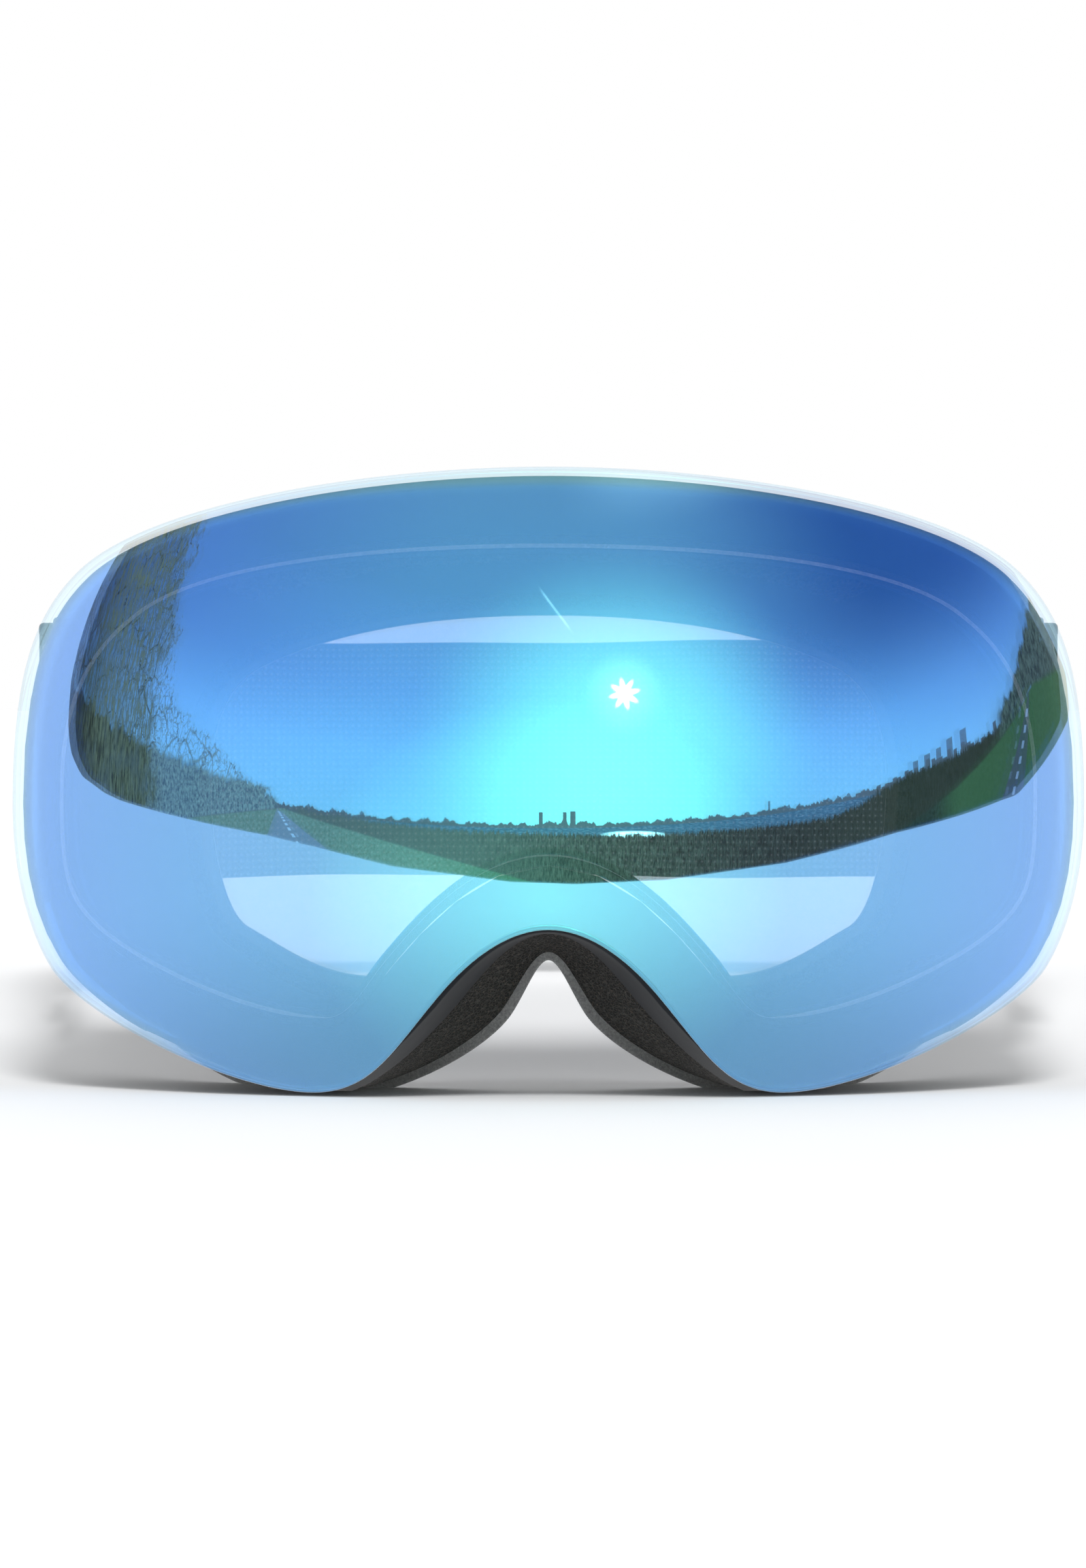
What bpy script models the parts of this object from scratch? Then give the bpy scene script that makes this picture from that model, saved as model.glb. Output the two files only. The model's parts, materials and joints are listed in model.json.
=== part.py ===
"""Frameless ski goggles, standing on the lower edge of the frame, with the strap's loop behind them.

Metres, +Z up, +Y to the back of the head, +X to the right. The origin is the centre of the footprint.
Outlines are front views, as (x, z) in millimetres, and a depth law puts each of them on a curved surface.
"""

import math

import bmesh
import bpy
import numpy as np
from mathutils import Matrix, Vector

MM = 0.001
GAP = 0.3 * MM  # between touching pieces

# Overall
DEPTH = 170.84 * MM  # lens apex to the back of the strap's loop
FRONT = -DEPTH / 2  # y of the lens apex

# Double lens: a doubly curved outer lens, a seal and a smaller inner lens
LENS_ACROSS = 104 * MM  # radius of the horizontal section
LENS_UPRIGHT = 150 * MM  # radius of the vertical section
LENS_MIDDLE = 47 * MM  # height where the lens stands upright
LENS_HUB = 60 * MM  # height of the point that the lens's rings close on
OUTER_LENS = 1.5 * MM  # thicknesses
SEAL = 2.2 * MM
INNER_LENS = 1.0 * MM
FLANGE = 2.8 * MM

# Depths under the outer lens's front surface, measured square to it
SEAL_AT = OUTER_LENS + GAP
SEAL_END = SEAL_AT + SEAL
INNER_AT = SEAL_END + GAP
FLANGE_AT = SEAL_END + 1.6 * GAP
FLANGE_END = FLANGE_AT + FLANGE

# Face side: a cylinder round the wearer's face, relieved at the bridge of the nose
FACE_AT = 44 * MM
FACE_RADIUS = 92 * MM
NOSE_RELIEF = 7 * MM
NOSE_SPREAD = 16 * MM
NOSE_HEIGHT = 20 * MM
NOSE_TALL = 28 * MM
FLEECE = 1.8 * MM
FOAM = 12.6 * MM
FRAME_END = FLEECE + FOAM + 2 * GAP  # the frame's back, ahead of the face
WALL = 2.0 * MM

# Magnets that hold the lens on the frame
MAGNET_RADIUS = 2.8 * MM
MAGNET_THICK = 1.5 * MM
MAGNET_STATIONS = (5, 13, 25)  # steps round each half of the outline

# Vents
TOP_VENTS = 7
TOP_VENT_PITCH = 15 * MM
TOP_VENT = (10.5 * MM, 7.5 * MM, 24 * MM)  # across, front to back, up through the wall
TOP_VENT_Z = 97 * MM  # middle of the cut
TOP_VENT_CORNER = 1.6 * MM
LOW_VENTS = (52 * MM, 63 * MM)  # x of each
LOW_VENT = (6.5 * MM, 8 * MM, 22 * MM)
LOW_VENT_Z = 8 * MM
LOW_VENT_AT = 30.5 * MM  # behind the lens's apex, for the inner one
LOW_VENT_SLANT = 0.5  # how far back for each step outwards
LOW_VENT_CORNER = 1.2 * MM
VENT_FOAM = 2.4 * MM
VENT_FOAM_RUN = 14 * MM  # distance between the outlines that place the foam

# Strap, its end clips and their swivel studs
STRAP_HIGH = 42 * MM
STRAP_THICK = 1.8 * MM
STRAP_Z = 53 * MM  # middle of the strap
STRAP_X = 85.3 * MM  # outer layer, middle of its thickness
STRAP_FOLD = 2.4 * MM  # radius of the fold round the clip's bar
STRAP_BEND_AT = FRONT + 127 * MM  # the straight sides end here
STRAP_BACK = 43 * MM  # depth of the rounded back
STRAP_SQUARE = 0.9  # 1 for an ellipse, less for a squarer back
STUD_Y = FRONT + 75 * MM
STUD_RADIUS = 2.4 * MM
STUD_HEAD = (4.8 * MM, 1.4 * MM)  # radius, thickness
CLIP_X = STRAP_X - STRAP_FOLD
CLIP_THICK = 2.4 * MM
CLIP_DISC = 7.6 * MM
CLIP_HALF = 25 * MM
SLOT = (10.2 * MM, 13.8 * MM)  # slot in the clip, behind the stud
BAR_END = 16.8 * MM
EAR_THICK = 3.0 * MM
EAR_HALF = 9.5 * MM
EAR_CORNER = 4 * MM
EAR_FRONT = -13.5 * MM  # from the stud's axis
EAR_BACK = 8.5 * MM
EAR_X = CLIP_X - CLIP_THICK / 2 - GAP - EAR_THICK / 2

# Adjusters on the strap
ADJUSTER_AT = FRONT + 110 * MM
ADJUSTER_LONG = 15 * MM
ADJUSTER_RAIL = 2.6 * MM
ADJUSTER_BAR = 3.2 * MM
ADJUSTER_SKIN = 1.6 * MM
ADJUSTER_ROUND = 0.7 * MM

# Outlines: x, z, heading in degrees, reach before, reach after. Each runs from the top centre
# round the shoulder, side, lower corner, lowest point and side of the nose to the bridge.
STEPS = (9, 6, 5, 6, 5, 4)  # sides of the outline between those points
LENS_EDGE = (
    (0, 102.0, 0, 0, 30),
    (77.5, 85.6, -42.6, 15.4, 11.1),
    (89.0, 46.5, -90, 21.6, 9.5),
    (82.3, 19.8, -124, 8.1, 9.1),
    (38.5, 0.6, -180, 13.4, 9.5),
    (18.0, 16.2, -230.6, 12.0, 5.6),
    (0, 27.4, -180, 7.8, 0),
)
FRAME_EDGE = (
    (0, 100.6, 0, 0, 30),
    (76.4, 84.4, -42.6, 15.2, 11.1),
    (87.3, 46.5, -90, 21.0, 9.5),
    (80.9, 20.8, -124, 8.1, 9.1),
    (37.5, -0.9, -180, 13.0, 9.0),
    (17.4, 15.5, -230.6, 11.4, 5.4),
    (0, 26.8, -180, 7.6, 0),
)
SEAL_EDGE = (
    (0, 89.2, 0, 0, 26),
    (67.0, 78.6, -36, 14, 9),
    (80.3, 49.0, -90, 17, 13),
    (73.5, 26.6, -141, 8, 8),
    (36.0, 12.9, -180, 13, 4),
    (26.0, 22.6, -230, 5.5, 7.5),
    (0, 39.4, -180, 12, 0),
)
FRAME_BACK = (
    (0, 95.0, 0, 0, 28),
    (66.5, 80.5, -43, 16, 11),
    (77.0, 47.0, -90, 18, 11),
    (69.5, 16.5, -128, 9, 10),
    (37.0, -1.0, -180, 15, 8),
    (14.2, 15.3, -230, 9, 5),
    (0, 26.2, -180, 6, 0),
)
FOAM_BACK = (
    (0, 93.6, 0, 0, 27),
    (65.0, 79.0, -43, 16, 11),
    (75.6, 47.0, -90, 18, 11),
    (69.0, 15.0, -125, 9, 11),
    (38.0, -1.0, -180, 12, 13),
    (6.6, 13.6, -237, 7, 4.5),
    (0, 22.4, -180, 2.2, 0),
)
APERTURE = (
    (0, 78.1, 0, 0, 20),
    (47.5, 69.6, -26, 13, 6),
    (56.5, 50.0, -90, 11, 9),
    (50.0, 26.2, -152, 5, 7),
    (29.0, 18.4, -180, 9, 4),
    (16.0, 26.6, -228, 5, 6),
    (0, 36.0, -180, 8, 0),
)

COLOURS = {  # red, green, blue, roughness, metallic
    "lens_blue": (0.10, 0.42, 0.80, 0.05, 0.9),
    "lens_clear": (0.62, 0.75, 0.85, 0.08, 0.0),
    "seal_grey": (0.62, 0.64, 0.66, 0.7, 0.0),
    "frame_black": (0.030, 0.030, 0.034, 0.55, 0.0),
    "carrier_black": (0.022, 0.022, 0.026, 0.45, 0.0),
    "foam_charcoal": (0.045, 0.044, 0.042, 0.95, 0.0),
    "fleece_grey": (0.12, 0.12, 0.115, 0.95, 0.0),
    "vent_foam": (0.06, 0.06, 0.062, 0.95, 0.0),
    "magnet_nickel": (0.62, 0.61, 0.58, 0.28, 1.0),
    "clip_black": (0.025, 0.025, 0.028, 0.4, 0.0),
    "stud_steel": (0.42, 0.43, 0.45, 0.3, 1.0),
    "strap_black": (0.035, 0.036, 0.042, 0.9, 0.0),
}


# Outlines and surfaces ---------------------------------------------------------------------------


def bezier(start, end, steps):
    """Points from one outline point up to, not including, the next."""
    (x0, z0, way0, _, out), (x1, z1, way1, back, _) = start, end
    t = np.arange(steps)[:, None] / steps
    p0, p3 = np.array([x0, z0], float), np.array([x1, z1], float)
    p1 = p0 + out * np.array([math.cos(math.radians(way0)), math.sin(math.radians(way0))])
    p2 = p3 - back * np.array([math.cos(math.radians(way1)), math.sin(math.radians(way1))])
    return (1 - t) ** 3 * p0 + 3 * t * (1 - t) ** 2 * p1 + 3 * t * t * (1 - t) * p2 + t**3 * p3


def outline(points):
    """The whole closed outline in metres: the +X half, then its mirror image, kept above the floor."""
    pieces = [bezier(a, b, n) for a, b, n in zip(points, points[1:], STEPS)]
    half = np.concatenate(pieces + [np.array([[points[-1][0], points[-1][1]]], float)]) * MM
    other = half[-2:0:-1] * (-1, 1)
    whole = np.concatenate([half, other])
    whole[:, 1] = np.maximum(whole[:, 1], 0)
    return whole


def between(inner, outer, share):
    """The outline that lies a share of the way from one outline to another, kept above the floor."""
    found = inner + (outer - inner) * share
    found[:, 1] = np.maximum(found[:, 1], 0)
    return found


def lens_y(x, z, under):
    """y of the surface a depth under the outer lens's front: a circle turned about an upright axis."""
    across = LENS_ACROSS - LENS_UPRIGHT + np.sqrt((LENS_UPRIGHT - under) ** 2 - (z - LENS_MIDDLE) ** 2)
    return FRONT + LENS_ACROSS - np.sqrt(across**2 - x**2)


def face_y(x, z, ahead):
    """y of the surface that lies a distance ahead of the wearer's face."""
    across, upright = x / NOSE_SPREAD, (z - NOSE_HEIGHT) / NOSE_TALL
    nose = NOSE_RELIEF * np.exp(-(across**2) - upright**2)
    return FRONT + FACE_AT + FACE_RADIUS - np.sqrt(FACE_RADIUS**2 - x**2) - nose - ahead


def on_lens(flat, under):
    return np.column_stack([flat[:, 0], lens_y(flat[:, 0], flat[:, 1], under), flat[:, 1]])


def on_face(flat, ahead):
    return np.column_stack([flat[:, 0], face_y(flat[:, 0], flat[:, 1], ahead), flat[:, 1]])


def lens_normal(x, z, under):
    """Unit vector out of the lens's front at a point on it."""
    rise = (z - LENS_MIDDLE) / (LENS_UPRIGHT - under)
    flat = Vector((x, lens_y(x, z, under) - FRONT - LENS_ACROSS)).normalized() * math.sqrt(1 - rise * rise)
    return Vector((flat.x, flat.y, rise))


# Making objects ----------------------------------------------------------------------------------


def clear_scene():
    for obj in list(bpy.data.objects):
        bpy.data.objects.remove(obj)


def collection(name, hidden=False):
    made = bpy.data.collections.new(name)
    bpy.context.scene.collection.children.link(made)
    made.hide_render = hidden
    return made


def material(name):
    found = bpy.data.materials.get(name)
    if found is None:
        found = bpy.data.materials.new(name)
        found.use_nodes = True
        red, green, blue, roughness, metallic = COLOURS[name]
        shader = found.node_tree.nodes["Principled BSDF"]
        shader.inputs["Base Color"].default_value = (red, green, blue, 1)
        shader.inputs["Roughness"].default_value = roughness
        shader.inputs["Metallic"].default_value = metallic
    return found


def add_object(name, mesh, finish, home):
    obj = bpy.data.objects.new(name, mesh)
    home.objects.link(obj)
    if finish:
        mesh.materials.append(material(finish))
    return obj


def mesh_from(name, points, faces):
    """A mesh of triangles, turned outwards. Its four-sided faces are not flat, so they are split here."""
    mesh = bpy.data.meshes.new(name)
    mesh.from_pydata([tuple(p) for p in points], [], faces)
    bm = bmesh.new()
    bm.from_mesh(mesh)
    bmesh.ops.recalc_face_normals(bm, faces=bm.faces)
    bmesh.ops.triangulate(bm, faces=[face for face in bm.faces if len(face.verts) == 4])
    bm.to_mesh(mesh)
    bm.free()
    return mesh


def smooth(obj):
    obj.data.shade_smooth()
    obj.data.set_sharp_from_angle(angle=math.radians(35))
    return obj


def hoop(name, loops, finish, home):
    """A closed hoop through loops of points that go round its section in order."""
    count = len(loops[0])
    turns = len(loops)
    faces = []
    for k in range(turns):
        a, b = k * count, (k + 1) % turns * count
        faces += [(a + i, a + (i + 1) % count, b + (i + 1) % count, b + i) for i in range(count)]
    return smooth(add_object(name, mesh_from(name, np.concatenate(loops), faces), finish, home))


def strip(name, sections, finish, home):
    """A closed bar through sections of points, with a cap on each end."""
    count = len(sections[0])
    faces = [tuple(range(count)), tuple(range(len(sections) * count - count, len(sections) * count))]
    for k in range(len(sections) - 1):
        a, b = k * count, (k + 1) * count
        faces += [(a + i, a + (i + 1) % count, b + (i + 1) % count, b + i) for i in range(count)]
    return smooth(add_object(name, mesh_from(name, np.concatenate(sections), faces), finish, home))


def boolean(obj, tool, operation):
    """Cuts the tool from the object or joins it on, and hides the tool."""
    change = obj.modifiers.new(operation.lower(), "BOOLEAN")
    change.object = tool
    change.operation = operation
    tool.hide_render = True
    tool.display_type = "WIRE"
    return obj


def cylinder(name, radius, length, place, axis, home, finish=None, sides=24):
    bm = bmesh.new()
    bmesh.ops.create_cone(bm, cap_ends=True, segments=sides, radius1=radius, radius2=radius, depth=length)
    mesh = bpy.data.meshes.new(name)
    bm.to_mesh(mesh)
    bm.free()
    obj = add_object(name, mesh, finish, home)
    obj.matrix_world = Matrix.Translation(place) @ Vector(axis).to_track_quat("Z", "Y").to_matrix().to_4x4()
    return smooth(obj)


def box(name, size, place, home, finish=None, bevel=0.0):
    bm = bmesh.new()
    bmesh.ops.create_cube(bm, size=1)
    bmesh.ops.scale(bm, vec=size, verts=bm.verts)
    if bevel:
        bmesh.ops.bevel(bm, geom=bm.edges, offset=bevel, segments=2, profile=0.5, affect="EDGES")
    mesh = bpy.data.meshes.new(name)
    bm.to_mesh(mesh)
    bm.free()
    obj = add_object(name, mesh, finish, home)
    obj.location = place
    return obj


def plate(name, loops, thick, place, home, finish):
    """A flat plate square to X, from loops of (y, z) points: its edge first, then its holes."""
    curve = bpy.data.curves.new(name, "CURVE")
    curve.dimensions = "2D"
    curve.fill_mode = "BOTH"
    curve.extrude = thick / 2
    for loop in loops:
        spline = curve.splines.new("POLY")
        spline.points.add(len(loop) - 1)
        for point, (u, v) in zip(spline.points, loop):
            point.co = (u, v, 0, 1)
        spline.use_cyclic_u = True
    drawn = bpy.data.objects.new(name + "_outline", curve)
    home.objects.link(drawn)
    bpy.context.view_layer.update()
    mesh = bpy.data.meshes.new_from_object(drawn.evaluated_get(bpy.context.evaluated_depsgraph_get()))
    bpy.data.objects.remove(drawn)
    bm = bmesh.new()
    bm.from_mesh(mesh)
    bmesh.ops.remove_doubles(bm, verts=bm.verts, dist=0.01 * MM)
    bmesh.ops.recalc_face_normals(bm, faces=bm.faces)
    bm.to_mesh(mesh)
    bm.free()
    obj = add_object(name, mesh, finish, home)
    upright = Matrix(((0, 0, 1, 0), (1, 0, 0, 0), (0, 1, 0, 0), (0, 0, 0, 1)))
    obj.matrix_world = Matrix.Translation(place) @ upright
    return obj


def arc(centre, radius, start, end, steps):
    turns = np.radians(np.linspace(start, end, steps + 1))
    return [(centre[0] + radius * math.cos(t), centre[1] + radius * math.sin(t)) for t in turns]


# Lens assembly -----------------------------------------------------------------------------------


def lens_shell(name, rims, under, thick, finish, home):
    """A lens: rings from its edge to a hub on the curved surface, and the same rings a thickness behind."""
    hub = np.array([[0, LENS_HUB]])
    inner = [hub + (rims[-1] - hub) * share for share in (0.64, 0.32)]
    rings = rims + inner
    front = np.concatenate([on_lens(ring, under) for ring in rings] + [on_lens(hub, under)])
    back = np.array([Vector(p) - lens_normal(p[0], p[2], under) * thick for p in front])
    count, size = len(rims[0]), len(front)
    middle = size - 1
    last = middle - count
    front_faces = []
    for a in range(0, last, count):
        b = a + count
        front_faces += [(a + i, a + (i + 1) % count, b + (i + 1) % count, b + i) for i in range(count)]
    front_faces += [(last + i, last + (i + 1) % count, middle) for i in range(count)]
    back_faces = [tuple(size + i for i in face) for face in front_faces]
    wall = [(i, (i + 1) % count, size + (i + 1) % count, size + i) for i in range(count)]
    mesh = mesh_from(name, np.concatenate([front, back]), front_faces + back_faces + wall)
    return smooth(add_object(name, mesh, finish, home))


def magnet_places(edge, seal_line):
    """Points between the lens's edge and its seal, in mirrored pairs."""
    middle = between(seal_line, edge, 0.47)
    total = len(middle)
    return [middle[k] for k in MAGNET_STATIONS] + [middle[total - k] for k in MAGNET_STATIONS]


def magnet(name, place, under, home, finish=None, radius=MAGNET_RADIUS, thick=MAGNET_THICK):
    """A disc whose front face is a depth under the outer lens's surface. Discs at one place share an axis."""
    x, z = float(place[0]), float(place[1])
    normal = lens_normal(x, z, SEAL_END)
    foot = Vector((x, float(lens_y(x, z, SEAL_END)), z))
    centre = foot - normal * (under - SEAL_END + thick / 2)
    return cylinder(name, radius, thick, centre, normal, home, finish, sides=20)


def build_lens(goggles, cutters):
    """Two lenses, the seal between them, and a carrier ring with the magnets that hold it to the frame."""
    edge, seal_line = outline(LENS_EDGE), outline(SEAL_EDGE)
    rims = [between(edge, seal_line, share) for share in (0, 0.20, 0.86, 1.22)]
    lens_shell("outer_lens", rims, 0.0, OUTER_LENS, "lens_blue", goggles)
    rims = [between(edge, seal_line, share) for share in (0.90, 1.10)]
    lens_shell("inner_lens", rims, INNER_AT, INNER_LENS, "lens_clear", goggles)
    seal_out, seal_in = between(edge, seal_line, 0.92), between(edge, seal_line, 1.10)
    hoop("lens_seal", square_hoop(seal_out, seal_in, SEAL_AT, SEAL_END), "seal_grey", goggles)
    rim_out, rim_in = between(edge, seal_line, 0.20), between(edge, seal_line, 0.86)
    carrier = hoop("lens_carrier", square_hoop(rim_out, rim_in, SEAL_AT, SEAL_END), "carrier_black", goggles)
    for i, place in enumerate(magnet_places(edge, seal_line), start=1):
        at = SEAL_END - MAGNET_THICK
        magnet(f"lens_magnet_{i}", place, at, goggles, "magnet_nickel")
        size = (MAGNET_RADIUS + GAP, MAGNET_THICK + 4 * GAP)
        pocket = magnet(f"carrier_pocket_{i}", place, at - GAP, cutters, None, *size)
        boolean(carrier, pocket, "DIFFERENCE")


def square_hoop(outer, inner, front, back):
    """The four corners of a hoop's section, between two outlines and two depths under the lens."""
    return [on_lens(outer, front), on_lens(outer, back), on_lens(inner, back), on_lens(inner, front)]


# Frame -------------------------------------------------------------------------------------------


def frame_sections():
    """Section of the frame, going round it: seat for the lens, side wall, and flange for the face foam."""
    edge, seal_line = outline(LENS_EDGE), outline(SEAL_EDGE)
    front, back, aperture = outline(FRAME_EDGE), outline(FRAME_BACK), outline(APERTURE)
    seat_in = between(edge, seal_line, 0.83)
    wall_front = between(front, seal_line, 0.17)
    wall_back = between(back, aperture, 0.12)
    flange_in = between(back, aperture, 0.80)
    return [
        on_lens(front, FLANGE_AT),
        on_lens(front, FLANGE_END),
        on_face(back, FRAME_END + WALL),
        on_face(back, FRAME_END),
        on_face(flange_in, FRAME_END),
        on_face(flange_in, FRAME_END + WALL),
        on_face(wall_back, FRAME_END + WALL),
        on_lens(wall_front, FLANGE_END),
        on_lens(seat_in, FLANGE_END),
        on_lens(seat_in, FLANGE_AT),
    ]


def build_frame(goggles, cutters):
    frame = hoop("frame", frame_sections(), "frame_black", goggles)
    for side, way in (("left", -1), ("right", 1)):
        boolean(frame, ear(side, way, cutters), "UNION")
        axis = (way * EAR_X, STUD_Y, STRAP_Z)
        hole = cylinder(f"stud_hole_{side}", STUD_RADIUS + GAP, 20 * MM, axis, (1, 0, 0), cutters)
        boolean(frame, hole, "DIFFERENCE")
        for i, x in enumerate(LOW_VENTS, start=1):
            y = FRONT + LOW_VENT_AT + (x - LOW_VENTS[0]) * LOW_VENT_SLANT
            place = (way * x, y, LOW_VENT_Z)
            low = box(f"low_vent_{side}_{i}", LOW_VENT, place, cutters, bevel=LOW_VENT_CORNER)
            boolean(frame, low, "DIFFERENCE")
    for i in range(TOP_VENTS):
        x = (i - (TOP_VENTS - 1) / 2) * TOP_VENT_PITCH
        place = (x, vent_line(x), TOP_VENT_Z)
        slot = box(f"top_vent_{i + 1}", TOP_VENT, place, cutters, bevel=TOP_VENT_CORNER)
        boolean(frame, slot, "DIFFERENCE")
    for i, place in enumerate(magnet_places(outline(LENS_EDGE), outline(SEAL_EDGE)), start=1):
        magnet(f"frame_magnet_{i}", place, FLANGE_AT + GAP / 2, goggles, "magnet_nickel")
        size = (MAGNET_RADIUS + GAP, MAGNET_THICK + 4.5 * GAP)
        pocket = magnet(f"frame_pocket_{i}", place, FLANGE_AT - 3 * GAP, cutters, None, *size)
        boolean(frame, pocket, "DIFFERENCE")
    return frame


def vent_line(x):
    """y of the middle of the frame's upper wall."""
    z = TOP_VENT_Z
    return float(lens_y(x, z, FLANGE_END) + face_y(x, z, FRAME_END + WALL)) / 2


def ear(side, way, home):
    """The lug on the frame that carries the strap's swivel stud."""
    corner = EAR_HALF - EAR_CORNER
    loop = [(EAR_FRONT, -EAR_HALF)]
    loop += arc((EAR_BACK - EAR_CORNER, -corner), EAR_CORNER, -90, 0, 5)
    loop += arc((EAR_BACK - EAR_CORNER, corner), EAR_CORNER, 0, 90, 5)
    loop += [(EAR_FRONT, EAR_HALF)]
    return plate(f"ear_{side}", [loop], EAR_THICK, (way * EAR_X, STUD_Y, STRAP_Z), home, None)


def vent_foam(name, stations, home):
    """A strip of open foam under the vents, lining the inside of the wall."""
    seal_line, front, back = outline(SEAL_EDGE), outline(FRAME_EDGE), outline(FRAME_BACK)
    aperture = outline(APERTURE)
    near, far = between(front, seal_line, 0.21), between(back, aperture, 0.17)
    depth = (VENT_FOAM + WALL) / VENT_FOAM_RUN
    near_in, far_in = between(front, seal_line, 0.21 + depth), between(back, aperture, 0.17 + depth)
    loops = [
        on_lens(near, FLANGE_END + 2 * GAP),
        on_face(far, FRAME_END + WALL + 2 * GAP),
        on_face(far_in, FRAME_END + WALL + 2 * GAP),
        on_lens(near_in, FLANGE_END + 2 * GAP),
    ]
    sections = [np.array([loop[k] for loop in loops]) for k in stations]
    return strip(name, sections, "vent_foam", home)


def build_face(goggles):
    back, foam_back, aperture = outline(FRAME_BACK), outline(FOAM_BACK), outline(APERTURE)
    foam_front = between(back, aperture, 0.03)
    foam_in = between(back, aperture, 0.93)
    foam_end = FLEECE + GAP
    hoop(
        "face_foam",
        [
            on_face(foam_front, foam_end + FOAM),
            on_face(foam_back, foam_end),
            on_face(aperture, foam_end),
            on_face(foam_in, foam_end + FOAM),
        ],
        "foam_charcoal",
        goggles,
    )
    lip, lining = between(aperture, foam_back, 1.06), between(aperture, foam_back, 0.0)
    rounded = between(aperture, foam_back, 0.97)
    hoop(
        "face_fleece",
        [
            on_face(lip, FLEECE),
            on_face(lip, FLEECE * 0.35),
            on_face(rounded, 0),
            on_face(lining, 0),
            on_face(lining, FLEECE),
        ],
        "fleece_grey",
        goggles,
    )


# Strap -------------------------------------------------------------------------------------------


def strap_path():
    """Plan of the strap as (x, y): from its inner end at one adjuster, round both clips, to the other."""
    inner_x, fold_y = STRAP_X - 2 * STRAP_FOLD, STUD_Y + SLOT[1] + 0.5 * MM
    end_y = ADJUSTER_AT + ADJUSTER_LONG / 2
    half_turn = np.linspace(0, math.pi, 9)
    fold = [(CLIP_X - STRAP_FOLD * math.cos(t), fold_y - STRAP_FOLD * math.sin(t)) for t in half_turn]
    side = [(inner_x, end_y), (inner_x, (end_y + fold_y) / 2)] + fold
    side += [(STRAP_X, fold_y + 12 * MM)]
    bend = [
        (
            STRAP_X * math.copysign(abs(math.cos(t)) ** STRAP_SQUARE, math.cos(t)),
            STRAP_BEND_AT + STRAP_BACK * math.sin(t) ** STRAP_SQUARE,
        )
        for t in np.linspace(0, math.pi, 28)
    ]
    return side + bend + [(-x, y) for x, y in reversed(side)]


def build_strap(goggles):
    path = strap_path()
    low, high = STRAP_Z - STRAP_HIGH / 2, STRAP_Z + STRAP_HIGH / 2
    points = [(x, y, z) for x, y in path for z in (low, high)]
    faces = [(2 * i, 2 * i + 1, 2 * i + 3, 2 * i + 2) for i in range(len(path) - 1)]
    mesh = bpy.data.meshes.new("strap")
    mesh.from_pydata(points, [], faces)
    strap = smooth(add_object("strap", mesh, "strap_black", goggles))
    webbing = strap.modifiers.new("thickness", "SOLIDIFY")
    webbing.thickness = STRAP_THICK
    webbing.offset = 0
    webbing.use_even_offset = True
    return strap


def clip_loops():
    """Edge of the strap clip, its stud hole and its strap slot, as (y, z) from the stud's axis."""
    corner = 3 * MM
    shoulder = 6.4 * MM
    back, top = BAR_END - corner, CLIP_HALF - corner
    edge = arc((0, 0), CLIP_DISC, 65, 295, 16)
    lower = [(shoulder, -top + 2 * MM)] + arc((shoulder + corner, -top), corner, 180, 270, 4)
    lower += arc((back, -top), corner, -90, 0, 4)
    upper = [(y, -z) for y, z in reversed(lower)]
    hole = arc((0, 0), STUD_RADIUS + GAP, 0, 360, 20)[:-1]
    half = STRAP_HIGH / 2 + 0.8 * MM
    slot = [(SLOT[0], -half), (SLOT[1], -half), (SLOT[1], half), (SLOT[0], half)]
    return [edge + lower + upper, hole, slot]


def build_clip(side, way, goggles):
    place = (way * CLIP_X, STUD_Y, STRAP_Z)
    return plate(f"strap_clip_{side}", clip_loops(), CLIP_THICK, place, goggles, "clip_black")


def build_stud(side, way, goggles, cutters):
    """A headed pin through the clip and the frame's lug, with a washer head on the outside."""
    inner = EAR_X - EAR_THICK / 2 - 0.4 * MM
    outer = CLIP_X + CLIP_THICK / 2 + GAP
    middle = (inner + outer) / 2 + 0.2 * MM
    stud = cylinder(
        f"swivel_stud_{side}",
        STUD_RADIUS,
        outer - inner + 0.4 * MM,
        (way * middle, STUD_Y, STRAP_Z),
        (1, 0, 0),
        goggles,
        "stud_steel",
        sides=28,
    )
    head = cylinder(
        f"stud_head_{side}",
        STUD_HEAD[0],
        STUD_HEAD[1],
        (way * (outer + STUD_HEAD[1] / 2), STUD_Y, STRAP_Z),
        (1, 0, 0),
        cutters,
        sides=28,
    )
    boolean(stud, head, "UNION")


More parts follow.
